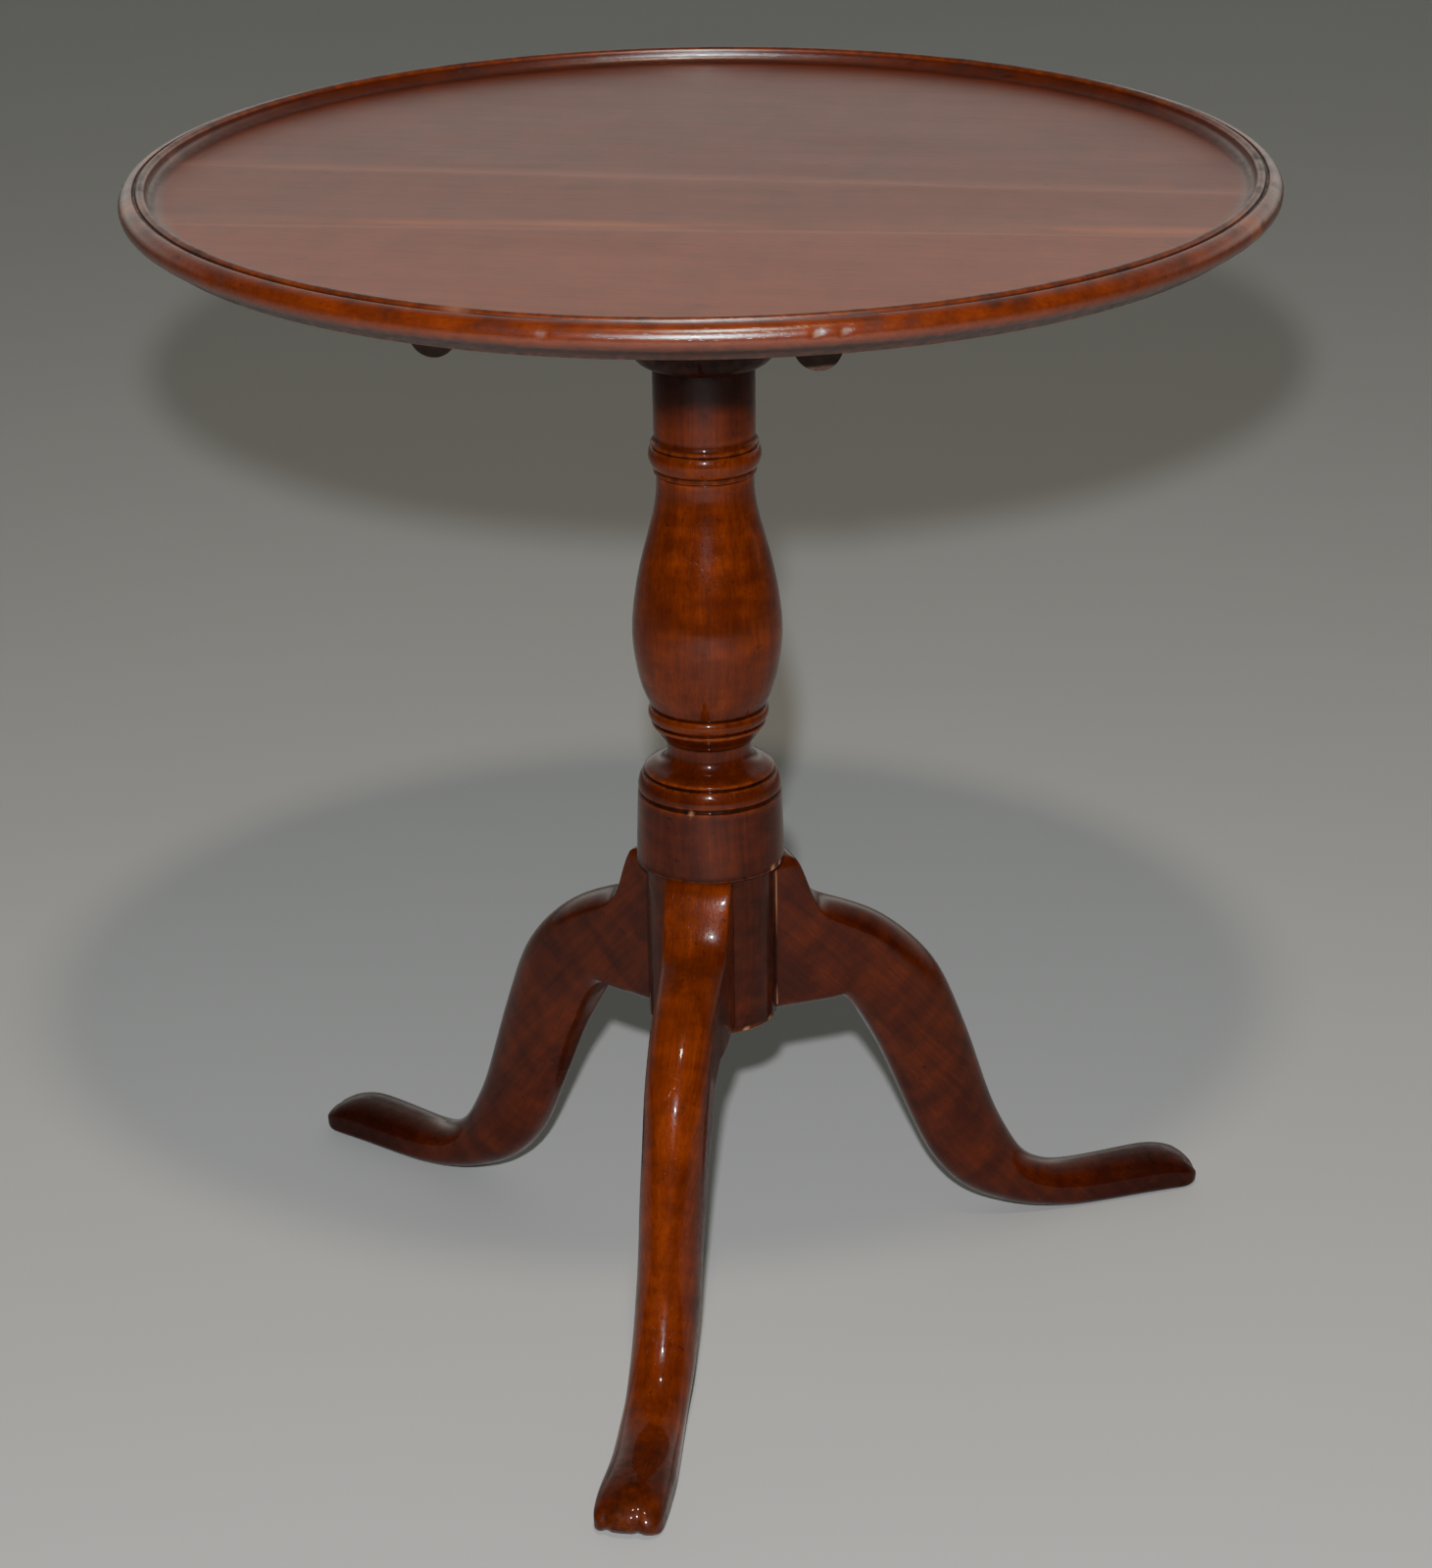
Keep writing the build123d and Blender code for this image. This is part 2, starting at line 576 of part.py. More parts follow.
def keeper_blank():
    """The keeper plate's outer box, which is also its seat in the block."""
    half = KEEPER_WIDTH / 2
    low = (-half, BLOCK_FRONT_Y - 1, BOLT_Z - KEEPER_HEIGHT / 2)
    return solid_between(low, (half, BLOCK_FRONT_Y + KEEPER_THICKNESS, BOLT_Z + KEEPER_HEIGHT / 2))


def keeper_pocket():
    """Slot through the keeper and the hollow behind it that takes the bolt's nose."""
    half_width = BOLT_WIDTH / 2 + KEEPER_SLOT_MARGIN
    half_height = BOLT_THICKNESS / 2 + KEEPER_SLOT_MARGIN
    low = (-half_width, BLOCK_FRONT_Y - 2, BOLT_Z - half_height)
    return solid_between(low, (half_width, BLOCK_FRONT_Y + KEEPER_POCKET_DEPTH, BOLT_Z + half_height))


def keeper_screw_set(maker):
    """The two screws of the keeper, or their holes, pointing back into the block."""
    turn = Rot(-90, 0, 0)
    screws = []
    for side in (-1, 1):
        place = Pos(side * KEEPER_SCREW_X, BLOCK_FRONT_Y, BOLT_Z)
        screws.append(place * (turn * maker(2.6, 1.3, 12.0)))
    return screws


def keeper_plate():
    """Brass plate with the bolt's slot and two countersunk holes."""
    front = BLOCK_FRONT_Y
    trim = solid_between((-KEEPER_WIDTH, front - 5, 0), (KEEPER_WIDTH, front, TABLE_HEIGHT))
    plate = keeper_blank() - trim - keeper_pocket()
    for hole in keeper_screw_set(screw_hole):
        plate -= hole
    return plate


def all_nodes():
    """Every piece of the table by its node name."""
    nodes = top_boards()
    nodes["bearer_left"] = bearer(-1)
    nodes["bearer_right"] = bearer(1)
    nodes["bearer_screws_left"] = Compound(bearer_screw_set(screw, (-1,)))
    nodes["bearer_screws_right"] = Compound(bearer_screw_set(screw, (1,)))
    nodes["tilt_block"] = tilt_block()
    nodes["tenon_wedge"] = tenon_wedge()
    nodes["column"] = column()
    for name, angle in LEG_ANGLES.items():
        nodes[name] = leg(angle)
    nodes["iron_strap"] = iron_strap()
    nodes["strap_screws"] = Compound(strap_screw_set(screw))
    nodes["catch_plate"] = catch_plate()
    nodes["catch_case"] = catch_case()
    nodes["catch_bolt"] = catch_bolt()
    nodes["catch_knob"] = catch_knob()
    nodes["catch_spring"] = catch_spring()
    nodes["catch_screws"] = Compound(catch_screw_set(screw))
    nodes["keeper_plate"] = keeper_plate()
    nodes["keeper_screws"] = Compound(keeper_screw_set(screw))
    return nodes


os.makedirs("parts", exist_ok=True)
for node_name, shape in all_nodes().items():
    export_step(shape, f"parts/{node_name}.step")
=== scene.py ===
import math

import bmesh
import bpy
import numpy as np
from bpy.props import FloatProperty, FloatVectorProperty, PointerProperty
from bpy.types import Operator, Panel, PropertyGroup
from mathutils import Matrix, Vector


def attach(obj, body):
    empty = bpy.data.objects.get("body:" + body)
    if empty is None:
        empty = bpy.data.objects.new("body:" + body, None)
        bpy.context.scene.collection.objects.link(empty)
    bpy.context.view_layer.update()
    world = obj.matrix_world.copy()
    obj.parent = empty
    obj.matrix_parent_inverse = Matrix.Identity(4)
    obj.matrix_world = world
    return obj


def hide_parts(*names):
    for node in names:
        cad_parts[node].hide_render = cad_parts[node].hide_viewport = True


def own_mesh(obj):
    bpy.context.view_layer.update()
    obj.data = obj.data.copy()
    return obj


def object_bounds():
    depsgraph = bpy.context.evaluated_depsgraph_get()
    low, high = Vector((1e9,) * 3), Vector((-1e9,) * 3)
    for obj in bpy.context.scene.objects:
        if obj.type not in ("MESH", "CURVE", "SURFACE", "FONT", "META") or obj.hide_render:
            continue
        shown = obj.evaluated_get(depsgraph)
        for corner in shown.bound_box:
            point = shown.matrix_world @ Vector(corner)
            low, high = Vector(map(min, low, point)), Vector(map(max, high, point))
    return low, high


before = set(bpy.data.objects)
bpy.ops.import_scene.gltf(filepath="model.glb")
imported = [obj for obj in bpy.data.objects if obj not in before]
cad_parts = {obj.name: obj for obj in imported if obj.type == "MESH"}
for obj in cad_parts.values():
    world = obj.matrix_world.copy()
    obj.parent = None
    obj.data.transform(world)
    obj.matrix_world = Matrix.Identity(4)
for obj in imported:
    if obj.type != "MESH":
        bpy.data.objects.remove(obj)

bl_info = {
    "name": "Tilt top table",
    "version": (1, 0, 0),
    "blender": (4, 5, 0),
    "location": "3D View > Sidebar > Table",
    "description": "Dished round top on a turned pillar with three curved legs",
    "category": "Add Mesh",
}

MM = 0.001
CAD_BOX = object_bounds()


def paint(red, green, blue):
    """A colour given from 0 to 255 as a display shows it, turned into the linear values that shaders use."""
    share = np.array((red, green, blue)) / 255
    return tuple(np.where(share < 0.0405, share / 12.92, ((share + 0.055) / 1.055) ** 2.4).tolist())


def colour(name, description, *default):
    """A colour property whose default is given from 0 to 255."""
    return FloatVectorProperty(name=name, description=description, subtype="COLOR", size=3,
                               min=0, max=1, default=paint(*default))


def length(name, description, default):
    """A length property in metres."""
    return FloatProperty(name=name, description=description, default=default, unit="LENGTH",
                         subtype="DISTANCE", precision=4)


def share(name, description, default):
    """A plain number from 0 to 1."""
    return FloatProperty(name=name, description=description, default=default, min=0, max=1, subtype="FACTOR")


# ---------------------------------------------------------------- sizes and colours

class TopSizes(PropertyGroup):
    """Sizes of the top and its joints"""

    radius: length("Radius", "Centre of the top to the edge of its rim", CAD_BOX[1].x)
    height: length("Height", "Floor to the highest line of the rim", CAD_BOX[1].z)
    joint_back: length("Back joint", "Glue line between the back and middle boards", 8 * MM)
    joint_front: length("Front joint", "Glue line between the middle and front boards", -112 * MM)
    joint_slope: FloatProperty(name="Joint slope", description="How far the front joint runs off square",
                               default=0.07)
    cupping: length("Cupping", "How far each old board has hollowed between its joints", 0.22 * MM)
    bruise: length("Bruises", "Depth of the knocks along the rim", 1.7 * MM)


class PillarSizes(PropertyGroup):
    """Wear and unevenness of the turned pillar"""

    rounding: length("Rounding", "Wear on the turned edges", 0.24 * MM)
    ripple: length("Ripple", "Unevenness left by hand turning", 0.16 * MM)


class LegSizes(PropertyGroup):
    """Shape and grain of the legs"""

    notch: length("Toe notches", "Depth of the worn notches between the toes' lobes", 2.6 * MM)
    ripple: length("Ripple", "Unevenness left by the spokeshave", 0.3 * MM)
    lean: length("Lean", "How far the front foot stands off to the side", 3.8 * MM)
    grain_tilt: FloatProperty(name="Grain tilt", description="Slope of the grain, down towards the toe",
                              default=math.radians(-47), unit="ROTATION", subtype="ANGLE")


class WoodFinish(PropertyGroup):
    """Colours and gloss of the polished and the bare wood"""

    dark: colour("Dark figure", "Darkest stripes of the polished wood", 60, 17, 5)
    middle: colour("Middle figure", "Most of the polished wood", 92, 33, 8)
    light: colour("Light figure", "Lightest stripes of the polished wood", 126, 50, 13)
    worn: colour("Worn edge", "Edges rubbed through the polish", 148, 66, 20)
    orange: colour("Orange band", "Warm band behind the front joint of the top", 168, 84, 28)
    seam: colour("Seam", "Pale wood rubbed bare along the joints of the top", 188, 116, 92)
    # The grime colour is old wax and dirt, and also painted shade in the hollows, under the rim, on the neck
    # under the top and on the front leg's sides.
    grime_and_shade: colour("Grime", "Old wax and dirt in the hollows", 16, 8, 5)
    chipped: colour("Chipped", "Fresh wood in small chips", 168, 116, 84)
    bare_dark: colour("Bare wood, dark", "Aged wood under the top, darkest", 58, 38, 26)
    bare_light: colour("Bare wood, light", "Aged wood under the top, lightest", 128, 90, 62)
    gloss: share("Gloss", "Roughness of the polish", 0.26)
    satin: share("Satin", "How much rougher the worn field of the top is", 0.12)
    top_shine: share("Shine of the top", "Strength of reflections in the polish on the top", 0.80)
    top_coat: share("Coat of the top", "Strength of the clear top coat on the rim", 0.15)
    shine: share("Shine", "Strength of reflections in the polish on the pillar and legs", 0.06)
    coat: share("Coat", "Strength of the clear top coat on the pillar and legs", 0.48)


class MetalFinish(PropertyGroup):
    """Colours of the catch, the strap and the screws"""

    brass: colour("Brass", "Rubbed brass", 188, 142, 74)
    tarnish: colour("Tarnish", "Brown film on the brass", 84, 58, 30)
    iron: colour("Iron", "Black old iron", 52, 47, 44)
    rust: colour("Rust", "Rust on the iron", 92, 48, 27)
    steel: colour("Spring steel", "Wire of the catch spring", 120, 118, 114)


class StageSettings(PropertyGroup):
    """Floor, room and lamps"""

    floor: colour("Floor", "Plain pale floor", 190, 190, 187)
    wall: FloatProperty(name="Wall light", description="Brightness of the pale room behind", default=0.70)
    room: FloatProperty(name="Room light", description="Brightness of the room behind the camera",
                        default=0.045)
    lamp: FloatProperty(name="Lamp", description="Power of the lamp near the camera", default=74,
                        unit="POWER")


# ---------------------------------------------------------------- outlines

def arc(start, via, end, step=0.25):
    """The circle through three points, walked from the first to the last by way of the second."""
    a, b, c = (complex(*p) for p in (start, via, end))
    ratio = (c - a) / (b - a)
    centre = a + (b - a) * (ratio - abs(ratio) ** 2) / (2j * ratio.imag)
    full = 2 * math.pi
    sweep = np.angle((c - centre) / (a - centre)) % full
    if np.angle((b - centre) / (a - centre)) % full > sweep:
        sweep -= full
    count = max(4, int(abs(sweep) * abs(a - centre) / step))
    points = centre + (a - centre) * np.exp(1j * sweep * np.linspace(0, 1, count))
    return np.stack([points.real, points.imag], 1)


def bow(start, end, bulge):
    """An arc whose middle stands off the straight line by the bulge, to the right of the way it runs."""
    start, end = np.array(start, float), np.array(end, float)
    run = end - start
    side = np.array([run[1], -run[0]]) / np.linalg.norm(run)
    return arc(start, (start + end) / 2 + side * bulge, end)


def natural_spline(knots, values, at):
    """The least bent curve through the values: cubic pieces that meet with equal slope and bend."""
    gap = np.diff(knots)
    inner = np.arange(1, len(knots) - 1)
    system = np.eye(len(knots))
    system[inner, inner - 1], system[inner, inner], system[inner, inner + 1] = (
        gap[:-1], 2 * (gap[:-1] + gap[1:]), gap[1:])
    right = np.zeros_like(values)
    right[1:-1] = 6 * np.diff(np.diff(values, axis=0) / gap[:, None], axis=0)
    bend = np.linalg.solve(system, right)
    k = np.clip(np.searchsorted(knots, at) - 1, 0, len(gap) - 1)
    before, after, h = (at - knots[k])[:, None], (knots[k + 1] - at)[:, None], gap[k][:, None]
    return ((bend[k] * after ** 3 + bend[k + 1] * before ** 3) / (6 * h)
            + (values[k] / h - bend[k] * h / 6) * after + (values[k + 1] / h - bend[k + 1] * h / 6) * before)


def flowing(*points):
    """A smooth line through the points, by the distance between them."""
    points = np.array(points, float)
    knots = np.concatenate([[0], np.cumsum(np.linalg.norm(np.diff(points, axis=0), axis=1))])
    return natural_spline(knots, points, np.linspace(0, knots[-1], int(knots[-1] / 0.5)))


class Outline:
    """A turned piece's outline: radius and height at each ring, with how raised or hollow the ring is."""

    STEP = 0.2

    def __init__(self, parts, rounding, count, straight_step=4.0):
        """Joins the parts, evens them out, rounds the corners and puts more rings where the line bends."""
        points = self.even(np.concatenate([np.atleast_2d(np.array(p, float)) for p in parts]))
        for _ in range(int(2 * (rounding / MM / self.STEP) ** 2)):
            points[1:-1] = 0.25 * points[:-2] + 0.5 * points[1:-1] + 0.25 * points[2:]
        way = np.diff(points, axis=0)
        turn = np.angle(np.exp(1j * np.diff(np.arctan2(way[:, 1], way[:, 0])))) / self.STEP
        turn = np.convolve(np.concatenate([[0], turn, [0]]), np.ones(5) / 5, "same")
        density = 1 / straight_step + np.abs(np.clip(turn, -1.2, 1.2)) * 4.2
        run = np.concatenate([[0], np.cumsum((density[1:] + density[:-1]) / 2)])
        at = np.interp(np.linspace(0, run[-1], count), run, np.arange(len(points)))
        index = np.arange(len(points))
        wide = np.convolve(turn, np.hanning(13) / np.hanning(13).sum(), "same")
        crest, hollow = np.clip(wide * 2.2, 0, 1), np.clip(-wide * 3.0 - 0.25, 0, 1)
        self.r, self.z = (np.interp(at, index, points[:, k]) * MM for k in (0, 1))
        self.crest, self.hollow = (np.interp(at, index, values) for values in (crest, hollow))

    def add_dark_rings(self, *places):
        """Darkens rings near each place, given as (height in millimetres, reach, strength)."""
        for height, reach, strength in places:
            self.hollow = np.maximum(self.hollow, strength * bump_at(self.z / MM, height, reach))

    @classmethod
    def even(cls, points):
        """Points at equal steps along the joined line, in millimetres."""
        run = np.concatenate([[0], np.cumsum(np.linalg.norm(np.diff(points, axis=0), axis=1))])
        at = np.linspace(0, run[-1], int(run[-1] / cls.STEP))
        return np.stack([np.interp(at, run, points[:, k]) for k in (0, 1)], 1)


def top_outline(radius, height):
    """From below: underside, rolled edge, quirk, inner bead, cove and dished field. The numbers are how far
    each point is in from the edge and down from the rim's top."""
    parts = [
        [(radius / MM, 23.0), (14.0, 23.0)],
        bow((14.0, 23.0), (5.5, 16.8), -0.8),
        arc((5.5, 16.8), (0.0, 9.0), (8.2, 1.7)),
        arc((8.2, 1.7), (9.2, 3.2), (10.2, 1.6)),
        arc((10.2, 1.6), (12.8, 0.0), (15.4, 1.8)),
        arc((15.4, 1.8), (16.3, 6.6), (20.0, 9.0)),
        [(radius / MM, 9.0)],
    ]
    return [np.array((radius / MM, height / MM)) - np.array(p, float) for p in parts]


def pillar_outline():
    """From the foot of the pillar up: stem, drum, band, cushion, waist, ring, vase, neck ring, bowl and
    tenon, with a thin fillet and a narrow quirk beside each ring. The points are radius and height."""
    vase = flowing((34.6, 381.4), (39.3, 392), (43.6, 410.5), (45, 423), (43.5, 448), (38.7, 473),
                   (32.2, 497.5), (29.1, 517.5), (29.1, 526.2))
    return [
        [(0, 178), (38.8, 178), (39.3, 178.5), (39.3, 281), (45.2, 281)],
        [(43.7, 324.9)],
        arc((43.7, 324.9), (42.2, 326.3), (43.4, 327.7)),
        arc((43.4, 327.7), (43.0, 332.8), (40.9, 337.6)),
        [(38.9, 338.3), (39.3, 339.2)],
        arc((39.3, 339.2), (39.6, 340.2), (38.7, 341.3)),
        bow((38.7, 341.3), (34.0, 343.0), 0.15),
        arc((34.0, 343.0), (28.0, 345.9), (25.3, 352.0)),
        [(26.2, 359.2), (28.6, 360.8)],
        bow((28.6, 360.8), (34.2, 368.6), -0.3),
        [(34.6, 370.3), (33.3, 371.0)],
        arc((33.6, 371.4), (36.4, 376.0), (35.2, 380.0)),
        [(33.9, 380.6)],
        vase,
        [(28.6, 526.9), (30.5, 527.3), (30.9, 529.6), (29.9, 530.3)],
        arc((31.0, 530.8), (33.6, 537.6), (32.1, 543.4)),
        [(31.0, 543.9), (32.0, 544.4), (32.0, 546.0)],
        bow((32.0, 546.0), (30.2, 551.5), -0.8),
        [(30.2, 593)],
        flowing((30.2, 593), (35.5, 593.9), (39.6, 596.4), (42.6, 600.5), (47, 610.5), (52.5, 629),
                (57, 650)),
        [(57, 656.7), (19, 656.7), (19, 686.2), (0, 686.2)],
    ]


# ---------------------------------------------------------------- surfaces

def ripple(points, size, seed):
    """Smooth unevenness from -1 to 1: eight plane waves of about the given size, summed."""
    rng = np.random.default_rng(seed)
    waves = rng.normal(size=(8, 3))
    waves *= (2 * math.pi / size) * rng.uniform(0.6, 1.5, (8, 1)) / np.linalg.norm(waves, axis=1)[:, None]
    return np.sin(points @ waves.T + rng.uniform(0, 6.28, 8)).mean(-1) * 1.6


def bump_at(values, centre, width):
    """A smooth hill of height 1 at the centre, which falls off over the width."""
    return np.exp(-((values - centre) / width) ** 2)


def skin(name, grid, **fields):
    """Quads between neighbouring rings, which close round; the first and the last ring are one point each."""
    rows, around = grid.shape[:2]

    def gather(a):
        """One row for each vertex: the first point, every ring in turn, and the last point."""
        return np.concatenate([a[0, :1], a[1:-1].reshape((-1,) + a.shape[2:]), a[-1, :1]])

    rings = np.arange((rows - 2) * around).reshape(rows - 2, around) + 1
    beside = np.roll(rings, -1, axis=1)
    quads = np.stack([rings[:-1], beside[:-1], beside[1:], rings[1:]], -1).reshape(-1, 4)
    end = rings[-1, -1] + 1
    start_fan = np.stack([0 * rings[0], beside[0], rings[0]], -1)
    end_fan = np.stack([rings[-1], beside[-1], 0 * rings[-1] + end], -1)
    corners = np.concatenate([quads.ravel(), start_fan.ravel(), end_fan.ravel()])
    sizes = np.repeat((4, 3), (len(quads), 2 * around))
    mesh = bpy.data.meshes.new(name)
    vertices = gather(grid)
    mesh.vertices.add(len(vertices))
    mesh.vertices.foreach_set("co", vertices.astype(np.float32).ravel())
    mesh.loops.add(len(corners))
    mesh.loops.foreach_set("vertex_index", corners.astype(np.int32))
    mesh.polygons.add(len(sizes))
    mesh.polygons.foreach_set("loop_start", (np.cumsum(sizes) - sizes).astype(np.int32))
    mesh.update(calc_edges=True)
    if mesh.validate():
        raise RuntimeError(f"the surface of {name} had faults")
    for field, values in fields.items():
        set_field(mesh, field, gather(values))
    return mesh


def set_field(mesh, name, values):
    """Stores a number or a vector at each vertex, for the materials to read."""
    kind, part = ("FLOAT_VECTOR", "vector") if values.ndim == 2 else ("FLOAT", "value")
    field = mesh.attributes.get(name) or mesh.attributes.new(name, kind, "POINT")
    field.data.foreach_set(part, values.astype(np.float32).ravel())


def get_field(mesh, name):
    """The numbers stored at the vertices under that name."""
    values = np.zeros(len(mesh.vertices), np.float32)
    mesh.attributes[name].data.foreach_get("value", values)
    return values


def vertices_of(mesh):
    """All the vertices as one array."""
    points = np.zeros(len(mesh.vertices) * 3, np.float32)
    mesh.vertices.foreach_get("co", points)
    return points.reshape(-1, 3).astype(float)


def lathe(outline, around, change=0):
    """Surface of revolution: x = r cos a, y = r sin a and z, with a change of radius at each point."""
    angle = np.arange(around) * 2 * math.pi / around + 0 * outline.r[:, None]
    r = outline.r[:, None] + change
    return np.stack([r * np.cos(angle), r * np.sin(angle), outline.z[:, None] + 0 * angle], -1)


def finish_piece(mesh, body, nodes, materials, sharp=40):
    """Puts a mesh into the scene as a smooth piece that stands for its nodes and rides on its body."""
    piece = bpy.data.objects.new(mesh.name, mesh)
    bpy.context.scene.collection.objects.link(piece)
    mesh.polygons.foreach_set("use_smooth", np.ones(len(mesh.polygons), bool))
    mesh.set_sharp_from_angle(angle=math.radians(sharp))
    for material in materials:
        mesh.materials.append(material)
    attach(piece, body)
    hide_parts(*nodes)
    return piece


# ---------------------------------------------------------------- shader tools

class Tree:
    """Adds nodes to one tree with their inputs set or linked."""

    def __init__(self, tree):
        self.tree = tree

    def add(self, kind, inputs=None, **settings):
        """A new node of the kind, with its settings and its inputs."""
        node = self.tree.nodes.new("ShaderNode" + kind)
        for name, value in settings.items():
            setattr(node, name, value)
        for name, value in (inputs or {}).items():
            self.feed(node.inputs[name], value)
        return node

    def feed(self, socket, value):
        """Links the value to the socket if it is an output, and otherwise sets it there."""
        if isinstance(value, bpy.types.NodeSocket):
            self.tree.links.new(value, socket)
        elif socket.type == "RGBA":
            socket.default_value = (*value[:3], 1)
        else:
            socket.default_value = value

    def math(self, operation, *values, clamp=False):
        """One step of arithmetic."""
        return self.add("Math", dict(enumerate(values)), operation=operation, use_clamp=clamp).outputs[0]

    def times(self, *values):
        """The product of two values."""
        return self.math("MULTIPLY", *values)

    def spread(self, value, low, high, to_low=0.0, to_high=1.0):
        """Carries the range low to high over to another range, and holds it there."""
        return self.add("MapRange", {"Value": value, "From Min": low, "From Max": high,
                                     "To Min": to_low, "To Max": to_high}).outputs[0]

    def mix(self, factor, first, second, blend="MIX"):
        """The first colour, with the second laid over it by the factor."""
        inputs = {0: factor, 6: first, 7: second}
        return self.add("Mix", inputs, data_type="RGBA", blend_type=blend).outputs[2]

    def shaded(self, shade, by):
        """The colour, darker or lighter by the value."""
        return self.mix(1.0, shade, by, "MULTIPLY")

    def noise(self, vector, scale, detail=2.0, roughness=0.5, distortion=0.0):
        """Cloudy noise from 0 to 1."""
        return self.add("TexNoise", {"Vector": vector, "Scale": scale, "Detail": detail,
                                     "Roughness": roughness, "Distortion": distortion}).outputs[0]

    def stretched(self, vector, along, across):
        """The vector in waves per metre along the grain and across it."""
        return self.add("Mapping", {"Vector": vector, "Scale": (along, across, across)}).outputs[0]

    def field(self, name, vector=False):
        """What is stored at the piece's vertices under that name."""
        return self.add("Attribute", attribute_name=name).outputs["Vector" if vector else "Fac"]

    def place(self):
        """The place on the piece, in metres."""
        return self.add("TexCoord").outputs["Object"]

    def group(self, tree, **inputs):
        """A shader group with its inputs: its outputs."""
        node = self.add("Group", node_tree=tree)
        for name, value in inputs.items():
            self.feed(node.inputs[name.replace("_", " ")], value)
        return node.outputs


def new_group(name, inputs, outputs):
    """A shader group with float outputs: its tree, its inputs and its outputs. An input is a vector if it has
    no default, and otherwise a float."""
    group = bpy.data.node_groups.new(name, "ShaderNodeTree")
    for label, default in inputs.items():
        kind = "NodeSocketVector" if default is None else "NodeSocketFloat"
        socket = group.interface.new_socket(name=label, in_out="INPUT", socket_type=kind)
        if default is not None:
            socket.default_value = default
    for label in outputs:
        group.interface.new_socket(name=label, in_out="OUTPUT", socket_type="NodeSocketFloat")
    tree = Tree(group)
    inside = group.nodes.new("NodeGroupInput").outputs
    out = group.nodes.new("NodeGroupOutput").inputs
    return tree, inside, out


def shared(name):
    """The shader group of that name, made the first time it is asked for."""
    return bpy.data.node_groups.get(name) or GROUPS[name](name)


def grain_group(name):
    """Wide stripes, fine fibres and short dark pores, all drawn out along the vector's x."""
    t, given, out = new_group(name, {"Vector": None, "Stripes": 26.0}, ("Figure", "Fibre", "Pores"))
    drift = t.add("TexNoise", {"Vector": given["Vector"], "Scale": 7.0}).outputs["Color"]
    drift = t.add("VectorMath", {0: drift, "Scale": 0.012}, operation="SCALE").outputs[0]
    wander = t.add("VectorMath", {0: given["Vector"], 1: drift}, operation="ADD").outputs[0]
    along = {0: t.stretched(wander, 2.4, 1.0), "Scale": given["Stripes"]}
    stripes = t.noise(t.add("VectorMath", along, operation="SCALE").outputs[0], 1.0, 3.0, 0.55)
    narrow = t.noise(t.stretched(wander, 7.0, 120.0), 1.0, 3.0, 0.6)
    figure = t.math("MULTIPLY_ADD", narrow, 0.45, t.times(stripes, 0.55))
    t.feed(out["Figure"], t.spread(figure, 0.22, 0.78))
    t.feed(out["Fibre"], t.noise(t.stretched(wander, 26.0, 560.0), 1.0, 3.0, 0.6))
    pores = t.noise(t.stretched(given["Vector"], 150.0, 1250.0), 1.0, 1.0)
    t.feed(out["Pores"], t.spread(pores, 0.62, 0.72))
    return t.tree


def polish_group(name):
    """Old hand polish: cloudy mottling, small dark marks and fine scratches."""
    t, given, out = new_group(name, {"Vector": None}, ("Mottle", "Marks", "Scratches"))
    t.feed(out["Mottle"], t.noise(given["Vector"], 38.0, 5.0, 0.62, 0.4))
    specks = t.spread(t.noise(given["Vector"], 260.0, 2.0), 0.66, 0.74)
    patches = t.spread(t.noise(given["Vector"], 30.0, 2.0), 0.45, 0.62)
    t.feed(out["Marks"], t.times(specks, patches))
    cells = t.add("TexVoronoi", {"Vector": given["Vector"], "Scale": 30.0}, feature="DISTANCE_TO_EDGE")
    lines = t.spread(cells.outputs[0], 0.012, 0.0)
    here = t.spread(t.noise(given["Vector"], 60.0, 2.0), 0.56, 0.66)
    t.feed(out["Scratches"], t.times(lines, here))
    return t.tree


def wear_group(name):
    """Where hands have rubbed the raised edges, and the dirt and painted shade given as hollow, both broken
    up.
    """
    t, given, out = new_group(name, {"Vector": None, "Crest": 0.0, "Hollow": 0.0}, ("Rubbed", "Dirt and shade"))
    broken = t.noise(given["Vector"], 170.0, 4.0, 0.65)
    t.feed(out["Rubbed"], t.times(given["Crest"], t.spread(broken, 0.38, 0.62, 0.25, 1.0)))
    dirt = t.spread(broken, 0.30, 0.70, 1.0, 0.45)
    t.feed(out["Dirt and shade"], t.math("MULTIPLY", given["Hollow"], dirt, clamp=True))
    return t.tree


def seam_group(name):
    """A thin line across the top at y = offset + slope x, as strong as the distance from it is small."""
    t, given, out = new_group(name, {"Vector": None, "Offset": 0.0, "Slope": 0.0, "Width": 0.001}, ("Line",))
    x, y, _ = t.add("SeparateXYZ", {0: given["Vector"]}).outputs
    line = t.math("MULTIPLY_ADD", x, given["Slope"], given["Offset"])
    off = t.math("DIVIDE", t.math("ABSOLUTE", t.math("SUBTRACT", y, line)), given["Width"])
    t.feed(out["Line"], t.math("SUBTRACT", 1.0, off, clamp=True))
    return t.tree


GROUPS = {"Wood grain": grain_group, "Old polish": polish_group, "Rubbing, dirt and shade": wear_group,
          "Glue line": seam_group}


def new_material(name):
    """An empty material with its Principled shader: the tree and the shader."""
    material = bpy.data.materials.new(name)
    material.use_nodes = True
    tree = material.node_tree
    shader = tree.nodes["Principled BSDF"]
    return material, Tree(tree), shader


def set_bump(t, shader, height, strength, distance):
    """A bump on the shader's normal."""
    bump = t.add("Bump", {"Height": height, "Strength": strength, "Distance": distance})
    t.feed(shader.inputs["Normal"], bump.outputs[0])


